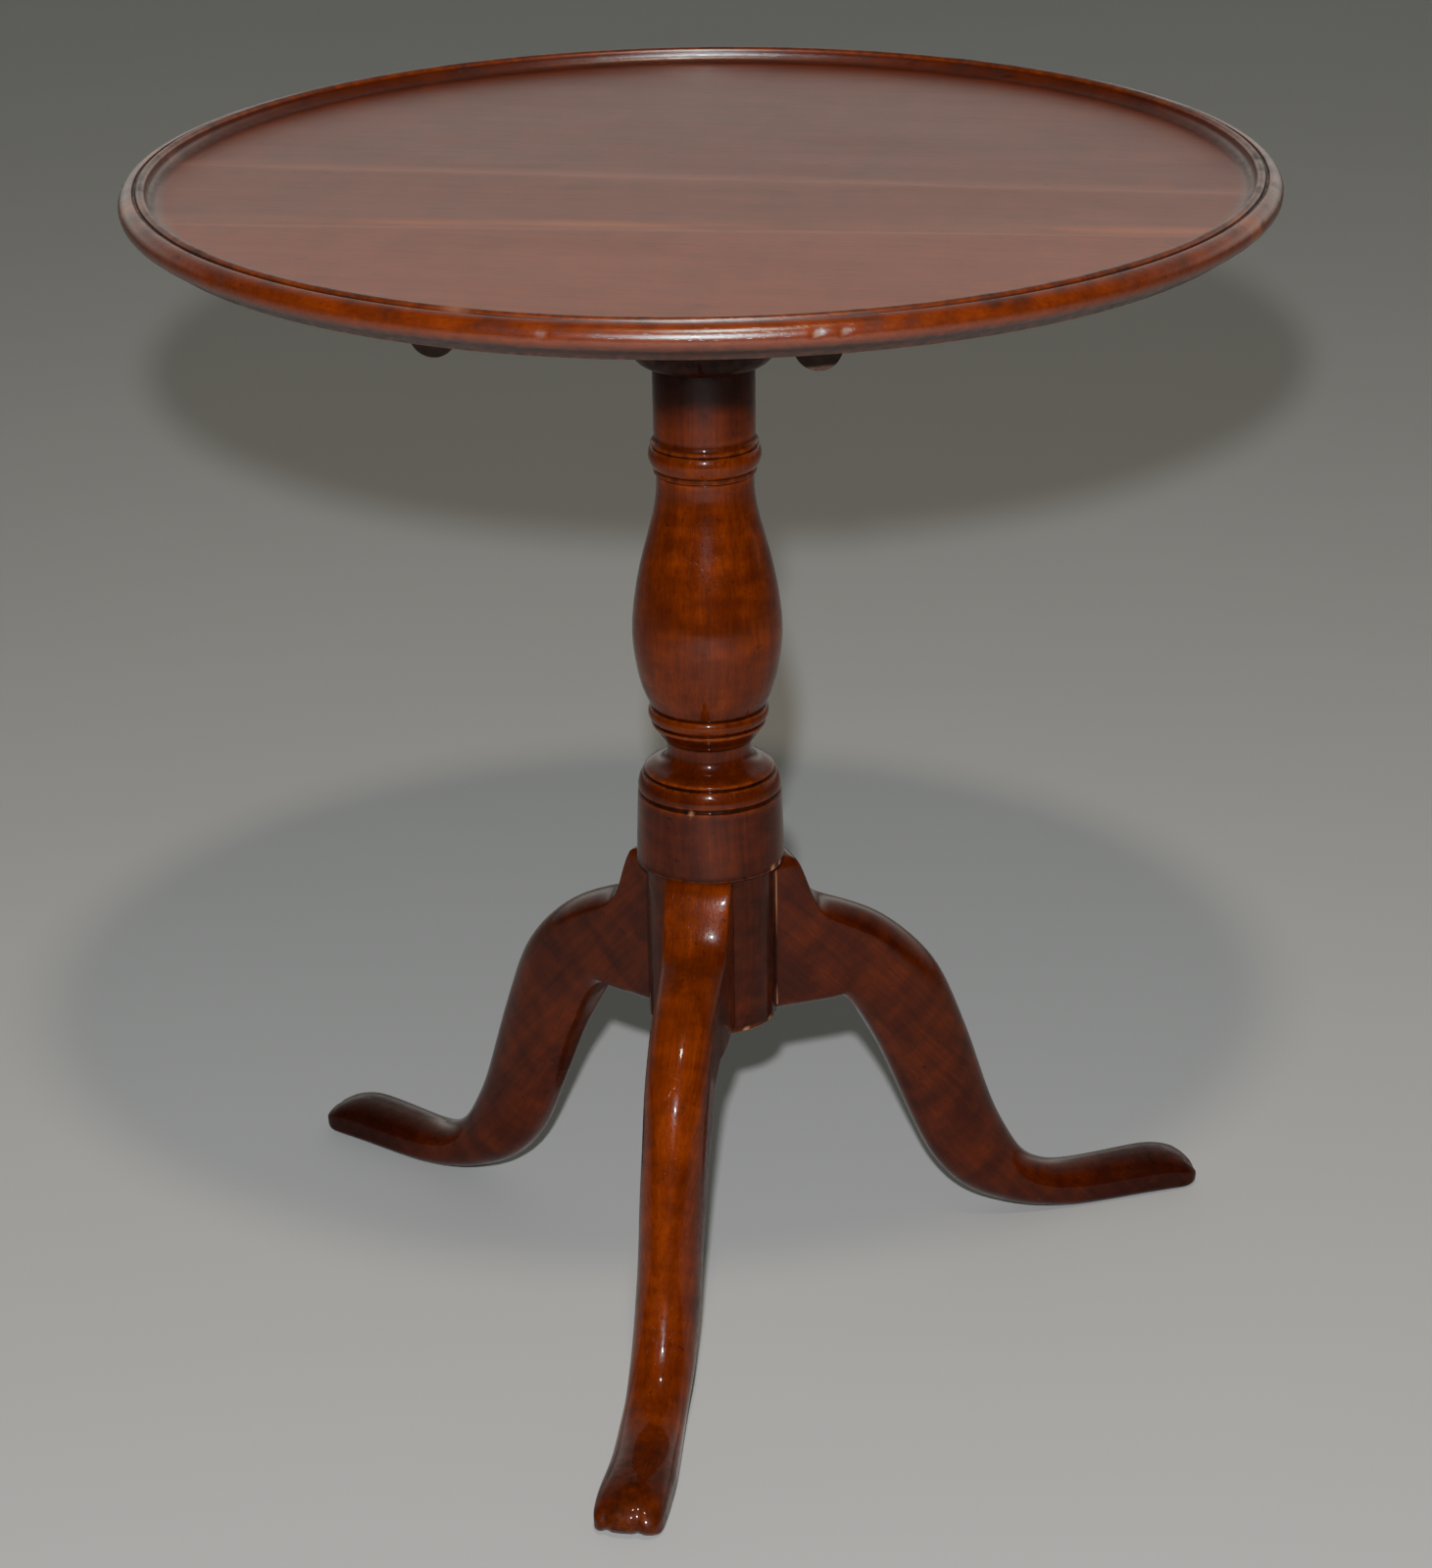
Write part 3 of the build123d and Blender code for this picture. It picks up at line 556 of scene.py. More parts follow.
def polished_wood(name, wood, stripes, shine, coat, top=None):
    """French polished mahogany, with its grain along its own field, cloudy old polish, rubbed edges, and dirt
    with painted shade in the hollows. The top is evener than the rest, and has its glue lines and a field
    worn to a satin."""
    material, t, shader = new_material(name)
    even = 0.45 if top else 1.0
    grain = t.group(shared("Wood grain"), Vector=t.field("grain", True), Stripes=stripes)
    polish = t.group(shared("Old polish"), Vector=t.stretched(t.place(), 0.2, 1.0) if top else t.place())
    wear = t.group(shared("Rubbing, dirt and shade"), Vector=t.place(), Crest=t.field("crest"),
                   Hollow=t.field("hollow"))
    chips, satin = t.field("chip"), t.field("satin")
    shade = wood_colour(t, wood, grain, polish, even)
    if top:
        shade = top_lines(t, shade, wood, top)
    shade = t.mix(t.times(polish["Marks"], 0.75), shade, wood.grime_and_shade)
    shade = t.mix(t.times(wear["Rubbed"], 0.5), shade, wood.worn)
    # Dirt and painted shade: the hollows, the rim's lower edge, the neck under the top, the floor line and
    # the front leg's sides darkened with the grime colour.
    shade = t.mix(t.times(wear["Dirt and shade"], 0.92), shade, wood.grime_and_shade)
    t.feed(shader.inputs["Base Color"], t.mix(chips, shade, wood.chipped))
    dull, bright = wood.gloss + 0.07 * even ** 2, wood.gloss - 0.05 * even ** 2
    rough = t.math("MULTIPLY_ADD", wear["Dirt and shade"], 0.3, t.spread(polish["Mottle"], 0.3, 0.7, dull, bright))
    rough = t.math("MULTIPLY_ADD", satin, wood.satin, rough)
    t.feed(shader.inputs["Roughness"], t.math("MULTIPLY_ADD", chips, 0.4, rough, clamp=True))
    worn_coat = t.math("MAXIMUM", t.times(wear["Dirt and shade"], 0.8), satin)
    t.feed(shader.inputs["Coat Weight"], t.math("MULTIPLY_ADD", worn_coat, -coat, coat, clamp=True))
    shader.inputs["Coat Roughness"].default_value = 0.05
    shader.inputs["Specular IOR Level"].default_value = shine
    height = t.math("MULTIPLY_ADD", grain["Fibre"], 0.35, t.times(polish["Mottle"], 1.2))
    height = t.math("MULTIPLY_ADD", grain["Pores"], -0.35, height)
    height = t.math("MULTIPLY_ADD", polish["Scratches"], -0.5, height)
    if top:
        height = t.times(height, t.spread(satin, 0, 1, 3.0, 1.0))
    set_bump(t, shader, height, 0.16 if top else 0.55, 0.4 * MM)
    return material


def wood_colour(t, wood, grain, polish, even):
    """Stripes between the dark and the light figure, crossed by fibres and mottling, with dark pores."""
    figure = t.spread(grain["Figure"], 0, 1, 0.5 - even / 2, 0.5 + even / 2)
    ramp = t.add("ValToRGB", {"Fac": t.math("ADD", figure, t.field("tone"), clamp=True)})
    set_stops(ramp, (0.0, wood.dark), (0.5, wood.middle), (1.0, wood.light))
    shade = t.shaded(ramp.outputs[0], t.spread(grain["Fibre"], 0.3, 0.7, 0.80, 1.12))
    shade = t.shaded(shade, t.spread(polish["Mottle"], 0.3, 0.7, 1 - 0.16 * even, 1 + 0.10 * even))
    return t.mix(t.times(grain["Pores"], 0.5), shade, wood.dark)


def set_stops(ramp, *stops):
    """Sets a colour ramp's stops as (position, colour)."""
    elements = ramp.color_ramp.elements
    while len(elements) < len(stops):
        elements.new(0.5)
    for element, (position, shade) in zip(elements, stops):
        element.position = position
        element.color = (*shade[:3], 1)


def top_lines(t, shade, wood, top):
    """The glue lines of the top, each a pale line beside a dark hair, and a warm band behind the front one.
    Each line here is a joint, how far the line stands behind it, its width and its strength."""
    at = t.place()
    patches = t.spread(t.noise(t.stretched(at, 1.0, 3.0), 9.0, 2.0), 0.42, 0.58)
    back, front = (top.joint_back, 0.0), (top.joint_front, top.joint_slope)

    def line(joint, behind, width):
        """How strong a line beside the joint is at each place."""
        offset, slope = joint
        return t.group(shared("Glue line"), Vector=at, Offset=offset + behind * MM, Slope=slope,
                       Width=width * MM)[0]

    band = t.times(line(front, 10, 13), t.spread(patches, 0, 1, 0.15, 0.65))
    shade = t.mix(band, shade, wood.orange)
    for joint, behind, width, strength in ((back, 0, 12, 0.20), (back, -3, 4, 0.08), (front, 0, 4, 0.22)):
        pale = t.times(line(joint, behind, width), t.spread(patches, 0, 1, strength, strength * 0.6))
        shade = t.mix(pale, shade, wood.seam)
    for joint in (back, front):
        shade = t.mix(t.times(line(joint, 1.5, 0.8), 0.35), shade, wood.grime_and_shade)
    return shade


def bare_wood(name, wood, stripes, warmth, depth):
    """Unpolished wood gone brown with age, with tool marks across it and dirt in blotches."""
    material, t, shader = new_material(name)
    grain = t.group(shared("Wood grain"), Vector=t.field("grain", True), Stripes=stripes)
    polish = t.group(shared("Old polish"), Vector=t.place())
    shade = t.mix(grain["Figure"], wood.bare_dark, t.mix(warmth, wood.bare_light, wood.middle))
    shade = t.shaded(shade, t.spread(grain["Fibre"], 0.3, 0.7, 0.72, 1.15))
    shade = t.shaded(shade, t.spread(polish["Mottle"], 0.35, 0.65, 0.62 * depth, 1.12 * depth))
    shade = t.mix(t.times(grain["Pores"], 0.6), shade, wood.grime_and_shade)
    shade = t.mix(t.times(polish["Marks"], 0.6), shade, wood.grime_and_shade)
    t.feed(shader.inputs["Base Color"], shade)
    t.feed(shader.inputs["Roughness"], t.spread(polish["Mottle"], 0.3, 0.7, 0.82, 0.60))
    planing = t.add("TexWave", {"Vector": t.field("grain", True), "Scale": 14.0, "Distortion": 2.5,
                                "Detail": 2.0, "Detail Scale": 3.0}, bands_direction="X").outputs[1]
    height = t.math("ADD", grain["Fibre"], t.times(planing, 0.5))
    height = t.math("MULTIPLY_ADD", grain["Pores"], -0.9, height)
    set_bump(t, shader, height, 0.6, 0.5 * MM)
    return material


def old_metal(name, bright, film, smoothest, metallic, scale=90.0):
    """Metal with a film of tarnish or rust in patches, and small pits. The cleanest places have the
    smoothest roughness."""
    material, t, shader = new_material(name)
    place = t.place()
    cloud = t.noise(place, scale, 5.0, 0.65)
    patches = t.spread(cloud, 0.36, 0.62)
    pits = t.spread(t.noise(place, scale * 9, 2.0), 0.60, 0.72)
    shade = t.mix(patches, bright, film)
    t.feed(shader.inputs["Base Color"], t.mix(t.times(pits, 0.6), shade, [part * 0.35 for part in film]))
    t.feed(shader.inputs["Roughness"], t.spread(cloud, 0.36, 0.62, smoothest, smoothest + 0.28))
    shader.inputs["Metallic"].default_value = metallic
    fine = t.noise(place, scale * 5, 4.0, 0.7)
    set_bump(t, shader, t.math("MULTIPLY_ADD", pits, -0.6, fine), 0.4, 0.2 * MM)
    return material


# ---------------------------------------------------------------- the pieces

def settings(context):
    """The table's property groups."""
    return context.scene.table_sizes


TOP_AROUND, TOP_RINGS = 720, 170
# Knocks along the rolled edge: the angle and the width in degrees, and how deep each is beside the others.
KNOCKS = ((-69.9, 0.35, 1.0), (-67.6, 0.30, 0.9), (-94, 0.35, 0.7), (22, 0.5, 1.3), (-37, 0.7, 0.4),
          (-131, 0.6, 0.5), (158, 0.9, 0.7), (71, 0.8, 0.5), (-12, 0.5, 0.5), (119, 0.6, 0.4),
          (-168, 0.8, 0.4))
# Where the inner bead has been filled, in degrees.
FILLER_ANGLE, FILLER_WIDTH = -103, 1.3
# A face whose normal points further down than this is on the unpolished underside.
FACING_DOWN = -0.97


def top_dirt_and_shade(outline, top):
    """Darkening in the top's outline, by how far each ring is in from the edge and down, in millimetres:
    painted shade with dirt in the hollows, painted shade on the lower cove under the rim, in the quirk and at
    the foot of the cove inside the rim, and a darker inner bead."""
    inward = top.radius / MM - outline.r / MM
    drop = top.height / MM - outline.z / MM
    return np.maximum.reduce([
        outline.hollow,
        np.clip((drop - 12.5) / 3.0, 0, 1) * (inward < 16),
        bump_at(inward, 9.2, 1.1) * (drop < 5),
        0.8 * bump_at(inward, 18.5, 2.4) * (drop < 10),
        0.45 * bump_at(inward, 12.8, 2.5) * (drop < 5)])


def top_surface(top):
    """The whole top turned as one. A knock or a rubbed place scales a point's distance from the middle, and
    the field sinks with the distance from the nearest joint, as each old board hollows."""
    outline = Outline(top_outline(top.radius, top.height), 0.24 * MM, TOP_RINGS)
    angle = np.degrees(np.arange(TOP_AROUND) * 2 * math.pi / TOP_AROUND)[None, :]
    angle = (angle + 180) % 360 - 180
    r, z = outline.r[:, None], outline.z[:, None]
    bead = bump_at(r, top.radius - 3 * MM, 5 * MM) * bump_at(z, top.height - 7 * MM, 7 * MM)
    bead = bead * bump_at(z, top.height - 8 * MM, 2.6 * MM)
    knocks = bead * sum(depth * bump_at(angle, at, width) for at, width, depth in KNOCKS)
    grid = lathe(outline, TOP_AROUND)
    flat = 0 * grid[..., 0]
    upper = (np.arange(len(outline.r)) > np.argmax(outline.r))[:, None]
    joints = np.stack([grid[..., 1] - top.joint_back,
                       grid[..., 1] - top.joint_front - top.joint_slope * grid[..., 0]])
    near = np.abs(joints).min(0)
    sink = top.cupping * (1 - np.exp(-(near / (40 * MM)) ** 2)) + 0.06 * MM * (1 + ripple(grid, 0.12, 5))
    worn = ripple(grid, 0.05, 3) * 0.12 * MM * bump_at(r, top.radius - 5 * MM, 9 * MM)
    spread = 1 + (worn - top.bruise * knocks) / np.maximum(r, 50 * MM)
    grid[..., :2] *= spread[..., None]
    grid[..., 2] -= upper * np.clip((top.radius - 22 * MM - r) / (20 * MM), 0, 1) * sink
    rim = bump_at(r, top.radius - 6 * MM, 9 * MM) * upper
    inner = bump_at(r, top.radius - 12.8 * MM, 3.2 * MM) * upper
    filler = bump_at(angle, FILLER_ANGLE, FILLER_WIDTH) * inner
    patchy = np.clip(ripple(grid * (1, 1, 2), 0.021, 8) * 0.9 + ripple(grid, 0.05, 9) * 0.5 - 0.15, -0.5, 1)
    bruised = np.clip(0.9 * knocks, 0, 0.7)
    # Painted shade with dirt from the outline, and dark patches along the rim and the inner bead.
    dirt = top_dirt_and_shade(outline, top)[:, None] + (0.45 * rim + 0.50 * inner) * np.clip(patchy, 0, 1)
    satin = upper * np.clip((top.radius - 20.5 * MM - r) / (3 * MM), 0, 1)
    return skin("whole_top", grid, crest=outline.crest[:, None] * (1 - bruised) + flat,
                hollow=np.maximum(dirt, bruised) + flat,
                chip=np.clip(1.6 * knocks - 0.6, 0, 0.55) + 0.4 * filler + flat,
                tone=flat - 0.35 * rim * patchy - 0.42 * inner, satin=satin + flat)


def board_between(whole, name, planes):
    """One board of the top, cut from the whole along its joint planes and closed there."""
    bm = bmesh.new()
    bm.from_mesh(whole)
    for point, outward in planes:
        cut = bmesh.ops.bisect_plane(bm, geom=bm.verts[:] + bm.edges[:] + bm.faces[:], dist=1e-7,
                                     plane_co=point, plane_no=outward, clear_outer=True)["geom_cut"]
        bmesh.ops.holes_fill(bm, edges=[e for e in cut if isinstance(e, bmesh.types.BMEdge)])
    mesh = bpy.data.meshes.new(name)
    bm.to_mesh(mesh)
    bm.free()
    return mesh


class MakeTop(Operator):
    """Make the dished top from its three glued boards"""

    bl_idname = "table.make_top"
    bl_label = "Make top"

    def execute(self, context):
        sizes = settings(context)
        top = sizes.top
        whole = top_surface(top)
        gap = 0.06 * MM
        slant = Vector((-top.joint_slope, 1, 0)).normalized()
        back, front = Vector((0, top.joint_back, 0)), Vector((0, top.joint_front, 0))
        square = Vector((0, 1, 0))
        boards = (
            ("back", [(back + square * gap, -square)], 0.20, (0, 0, 0)),
            ("middle", [(back - square * gap, square), (front + slant * gap, -slant)], 0.26, (1.7, 0.9, 0)),
            ("front", [(front - slant * gap, slant)], 0.42, (3.1, 2.3, 0)))
        polished = polished_wood("Polished top", sizes.wood, 22.0, sizes.wood.top_shine,
                                 sizes.wood.top_coat, top)
        under = bare_wood("Underside", sizes.wood, 18.0, 0.25, 0.8)
        for where, planes, tone, shift in boards:
            mesh = board_between(whole, f"board_{where}", planes)
            set_field(mesh, "grain", vertices_of(mesh) + shift)
            set_field(mesh, "tone", get_field(mesh, "tone") - 0.04 + (tone + 0.04) * get_field(mesh, "satin"))
            finish_piece(mesh, "top", [f"top_board_{where}"], [polished, under], 50)
            normals = np.zeros(len(mesh.polygons) * 3, np.float32)
            mesh.polygons.foreach_get("normal", normals)
            unpolished = normals[2::3] < FACING_DOWN
            mesh.polygons.foreach_set("material_index", unpolished.astype(np.int32))
        bpy.data.meshes.remove(whole)
        return {"FINISHED"}


# Darkening on the pillar: height in millimetres, its reach and its strength. Painted shade, with old dirt, in
# the quirks and beside the rings; the last is the painted shadow of the top on the neck.
PILLAR_DIRT_AND_SHADE = ((371.0, 0.8, 0.9), (364.5, 3.0, 0.6), (338.6, 0.9, 0.9), (326.2, 1.4, 0.9), (529, 1.6, 0.7),
               (544.5, 1.5, 0.7), (548.5, 2.5, 0.6), (381, 1.0, 0.9), (282, 1.2, 0.7), (618, 42, 1.0))
# How light or dark the pillar's wood is at each height in metres; the dark end at the neck under the top is
# painted shade.
PILLAR_TONE = np.array([
    (0.178, -0.34), (0.278, -0.30), (0.283, -0.34), (0.330, -0.32), (0.350, -0.16), (0.390, -0.04),
    (0.430, 0.04), (0.520, 0.0), (0.560, -0.05), (0.600, -0.45)])
# Chips on the pillar: place and radius in metres.
PILLAR_CHIPS = ((-0.004, -0.0435, 0.3258, 0.0022), (0.0413, -0.0184, 0.2822, 0.0028),
                (0.0440, -0.0100, 0.2830, 0.0022), (-0.038, 0.021, 0.2814, 0.002),
                (0.0260, -0.0300, 0.1782, 0.0030), (0.0372, -0.0120, 0.1785, 0.0026))
STEM_TOP = 281 * MM


class MakePillar(Operator):
    """Make the turned pillar"""

    bl_idname = "table.make_pillar"
    bl_label = "Make pillar"

    def execute(self, context):
        sizes = settings(context)
        outline = Outline(pillar_outline(), sizes.pillar.rounding, 400, 3.0)
        outline.add_dark_rings(*PILLAR_DIRT_AND_SHADE)
        around = 208
        off_axis = outline.r[:, None] > 1 * MM
        uneven = sizes.pillar.ripple * bump_at(outline.z, 0.42, 0.30)[:, None] * off_axis
        grid = lathe(outline, around, ripple(lathe(outline, around), 0.07, 11) * uneven)
        flat = 0 * grid[..., 0]
        # Painted shade on the stem below the drum, between the legs.
        below = 0.35 * np.clip((STEM_TOP - outline.z) / (4 * MM), 0, 1)
        mesh = skin("pillar", grid, grain=grid[..., (2, 0, 1)], crest=outline.crest[:, None] + flat,
                    hollow=np.maximum(outline.hollow, below)[:, None] + flat,
                    chip=marks_at(grid, PILLAR_CHIPS),
                    tone=np.interp(outline.z, *PILLAR_TONE.T)[:, None] + flat)
        wood = polished_wood("Polished pillar", sizes.wood, 34.0, sizes.wood.shine, sizes.wood.coat)
        finish_piece(mesh, "base", ["column"], [wood], 55)
        return {"FINISHED"}


def marks_at(grid, places):
    """Small round marks, 1 at each centre and 0 beyond its radius: places are (x, y, z, radius)."""
    total = np.zeros(grid.shape[:-1])
    for *centre, radius in places:
        total = np.maximum(total, np.clip(1.6 - 1.6 * np.linalg.norm(grid - centre, axis=-1) / radius, 0, 1))
    return total


# Out and up along the leg's upper edge, the same along its lower edge, and the width, in millimetres.
LEG_STATIONS = np.array([
    (34.1, 281, 34.1, 178, 39), (46, 280.5, 44, 178, 39), (57, 263, 55, 178, 39), (66, 246.5, 64, 178, 39),
    (80, 238.5, 73, 178, 39), (105, 226.5, 82, 177, 38.8), (131, 206, 93, 165, 38.6),
    (151, 180, 104, 146, 38.4), (164, 150, 113, 128, 38.3), (175, 120, 122, 107, 38.2),
    (190, 77, 135, 76, 38.2), (200, 57, 147, 51, 38.1), (212, 40, 164, 29, 37.8), (232, 28, 190, 12, 37.5),
    (262, 24.5, 235, 0.3, 38.4), (295, 24.5, 285, 0, 40.8), (318, 21, 315, 0, 41), (327, 16, 325, 1, 37.5),
    (330.5, 11, 330.5, 5, 28), (331, 8, 331, 8, 0)])
# How far along the leg, and how much of the section's half width and half height its corners round off: the
# upper corners across and down, then the lower corners across and up.
LEG_ROUNDING = np.array([
    (0, 0.95, 0.015, 0.40, 0.12), (14, 0.95, 0.02, 0.42, 0.13), (30, 0.95, 0.18, 0.44, 0.14),
    (60, 0.95, 0.36, 0.50, 0.20), (95, 0.94, 0.60, 0.66, 0.48), (150, 0.95, 0.86, 0.84, 0.78),
    (220, 0.96, 0.95, 0.93, 0.92), (300, 0.96, 0.95, 0.93, 0.92), (345, 0.94, 0.94, 0.62, 0.62),
    (420, 0.94, 0.94, 0.34, 0.36), (470, 0.92, 0.92, 0.5, 0.5)])
CORNER_STEPS, FLAT_STEPS = 22, 7
# The leg's root in the pillar, in millimetres, where the sections stand closest.
ROOT_LENGTH = 14


def rounded_section(run):
    """Across and up, from -1 to 1, round a box section with elliptical corners, for each place along the leg.
    It runs from the middle of the upper side over the right, the lower and the left sides, and back."""
    upper_across, upper_down, lower_across, lower_up = (
        np.interp(run, LEG_ROUNDING[:, 0], LEG_ROUNDING[:, k])[:, None] for k in range(1, 5))
    corner = np.linspace(0, math.pi / 2, CORNER_STEPS)[None, :]
    flat = np.linspace(0, 1, FLAT_STEPS, endpoint=False)[None, 1:]
    rise = np.concatenate([
        0 * flat * run[:, None] + 1,
        1 - upper_down * (1 - np.cos(corner)),
        (1 - upper_down) * (1 - flat) + (lower_up - 1) * flat,
        lower_up - 1 - lower_up * np.sin(corner),
        0 * flat * run[:, None] - 1], 1)
    side = np.concatenate([
        (1 - upper_across) * flat,
        1 - upper_across * (1 - np.sin(corner)),
        0 * flat * run[:, None] + 1,
        1 - lower_across * (1 - np.cos(corner)),
        (1 - lower_across) * (1 - flat)], 1)
    middle = np.zeros((len(run), 1))
    left_side, left_rise = -side[:, ::-1], rise[:, ::-1]
    side = np.concatenate([middle, side, middle, left_side], 1)
    rise = np.concatenate([middle + 1, rise, middle - 1, left_rise], 1)
    return -side, rise


def leg_sections():
    """How far along the leg each section is, in millimetres, and its middle, its middle to its upper edge and
    its half width, in metres. The first and the last section are points, which close the leg."""
    upper, lower, width = LEG_STATIONS[:, 0:2], LEG_STATIONS[:, 2:4], LEG_STATIONS[:, 4:5]
    size = np.concatenate([(upper + lower) / 2, (upper - lower) / 2, width / 2], 1)
    knots = np.concatenate([[0], np.cumsum(np.linalg.norm(np.diff(size, axis=0), axis=1))])
    root = np.linspace(0, ROOT_LENGTH, 40, endpoint=False)
    run = np.concatenate([root, np.linspace(ROOT_LENGTH, knots[-1], 280)])
    size = natural_spline(knots, size, run)
    size[1] = size[0]
    size[0, 2:] = size[-1, 2:] = 0
    return run, size * MM


def by_run(run, *stops):
    """A value for each section, from stops of how far along the leg and the value there."""
    return np.interp(run, *np.array(stops, float).T)[:, None]


def leg_surface(name, legs, bearing, seed, lean, tone, gap, flank_shade):
    """Rounded box sections carried along the leg, each as high and as wide as its station. The upper side is
    a little crowned, the toe is notched between its lobes, and the foot wanders off to one side by the lean.
    The tone is how dark the leg is, the gap how bare its shoulder line, and flank_shade how much painted
    shade darkens its sides."""
    run, size = leg_sections()
    side, rise = rounded_section(run)
    crown = (1 - side ** 2) * np.clip(rise, 0, 1) * by_run(run, (0, 0), (60, 1), (160, 1), (300, 0))
    out = size[:, 0:1] + size[:, 2:3] * rise + 0.6 * MM * crown
    up = np.maximum(size[:, 1:2] + size[:, 3:4] * rise, 0) + 1.0 * MM * crown
    across = size[:, 4:5] * side
    toe = np.clip((out - 306 * MM) / (20 * MM), 0, 1) ** 1.5
    notch = bump_at(across, -11.6 * MM, 2.6 * MM) + 0.8 * bump_at(across, 6.7 * MM, 2.2 * MM)
    out = out - toe * legs.notch * notch * np.clip(1.15 - up / (22 * MM), 0, 1)
    wander = lean * (1 - np.cos(math.pi * np.clip((out - 200 * MM) / (90 * MM), 0, 1))) / 2
    local = np.stack([out, across + wander, up], -1)
    free = np.clip((out - 60 * MM) / (50 * MM), 0, 1) * np.clip(up / (20 * MM), 0, 1)
    swell = ripple(local + seed, 0.06, seed) * legs.ripple * free
    local += swell[..., None] * np.stack([rise * 0.6, side, rise * 0.6], -1)
    x, y, z = np.moveaxis(local, -1, 0)
    turned = np.stack([np.cos(bearing) * x - np.sin(bearing) * y,
                       np.sin(bearing) * x + np.cos(bearing) * y, z], -1)
    tilt = legs.grain_tilt
    grain = np.stack([x * np.cos(tilt) + z * np.sin(tilt) + seed * 0.7, y,
                      z * np.cos(tilt) - x * np.sin(tilt)], -1)
    # Darkening: a dark joint where the root goes into the pillar, dirt with painted shade in the notches
    # between the toes, painted shade with dirt on the lowest 5 mm by the floor, dirt over the foot, and
    # painted shade on the sides by flank_shade.
    dirt = np.maximum.reduce([
        np.clip((36.2 * MM - x) / (1.5 * MM), 0, 1) + 0.5 * toe * np.clip(notch, 0, 1),
        0.8 * np.clip((5 * MM - up) / (5 * MM), 0, 1),
        0.62 * np.clip((out - 235 * MM) / (50 * MM), 0, 1),
        flank_shade * side ** 8 * by_run(run, (20, 0), (60, 1), (240, 1), (330, 0))])
    crest = 0.5 * bump_at(x, 330 * MM, 6 * MM) + 0.2 * np.clip(rise, 0, 1) ** 8
    fade = by_run(run, (0, -0.08), (60, 0), (110, 0.05), (200, 0), (330, -0.05), (380, -0.25), (440, -0.25))
    return skin(name, turned, grain=grain, crest=np.clip(crest, 0, 1), hollow=np.clip(dirt, 0, 1),
                chip=gap * shoulder_gap(local), tone=tone + fade + 0 * across)


def shoulder_gap(local):
    """Bare wood where one leg has drawn away from the pillar: a broken line down the edge of its shoulder."""
    out, across, up = np.moveaxis(local, -1, 0)
    line = bump_at(out, 35.2 * MM, 0.4 * MM) * (across < -12 * MM)
    broken = np.clip(1.5 + 2.5 * np.sin(up * 310) + 1.5 * np.sin(up * 1270), 0, 1)
    return np.clip(line * broken * ((up > 232 * MM) | (up < 196 * MM)), 0, 0.9)


class MakeLegs(Operator):
    """Make the three curved legs"""

    bl_idname = "table.make_legs"
    bl_label = "Make legs"

    def execute(self, context):
        sizes = settings(context)
        wood = polished_wood("Polished legs", sizes.wood, 30.0, sizes.wood.shine, sizes.wood.coat)
        for where, bearing, seed, lean, *marks in (
                ("front", -90, 1, sizes.legs.lean, 0.08, 0, 0.7),
                ("right", 30, 2, 0, -0.30, 0.7, 0.1),
                ("left", 150, 3, 0, -0.32, 0, 0.1)):
            mesh = leg_surface(f"carved_leg_{where}", sizes.legs, math.radians(bearing), seed, lean, *marks)
            finish_piece(mesh, "base", [f"leg_{where}"], [wood], 50)
        return {"FINISHED"}


def eased_copy(name, node, body, material, edge, grain_axes=(0, 1, 2), shift=0.0):
    """A copy of a frame part with its flat faces made whole and its edges eased by a small bevel."""
    bm = bmesh.new()
    bm.from_mesh(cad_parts[node].data)
    bmesh.ops.remove_doubles(bm, verts=bm.verts, dist=2e-6)
    bmesh.ops.dissolve_limit(bm, angle_limit=math.radians(0.4), verts=bm.verts, edges=bm.edges)
    bmesh.ops.recalc_face_normals(bm, faces=bm.faces)
    mesh = bpy.data.meshes.new(name)
    bm.to_mesh(mesh)
    bm.free()
    set_field(mesh, "grain", vertices_of(mesh)[:, list(grain_axes)] + shift)
    piece = finish_piece(mesh, body, [node], [material], 35)
    if edge:
        bevel = piece.modifiers.new("Eased edges", "BEVEL")
        bevel.width, bevel.segments, bevel.limit_method = edge, 2, "ANGLE"
        bevel.angle_limit, bevel.harden_normals = math.radians(35), True
    return piece


class MakeBearers(Operator):
    """Make the two bearers under the top, the tilting block and its wedge"""

    bl_idname = "table.make_bearers"
    bl_label = "Make bearers and block"

    def execute(self, context):
        wood = settings(context).wood
        plain = bare_wood("Bearers", wood, 40.0, 0.35, 0.55)
        block = bare_wood("Block", wood, 34.0, 0.0, 0.9)
        for side in ("left", "right"):
            eased_copy(f"eased_bearer_{side}", f"bearer_{side}", "top", plain, 1.0 * MM,
                       (1, 0, 2), 2.0 if side == "left" else 4.0)
        eased_copy("eased_block", "tilt_block", "base", block, 0.9 * MM)
        eased_copy("eased_wedge", "tenon_wedge", "base", plain, 0.3 * MM)
        return {"FINISHED"}


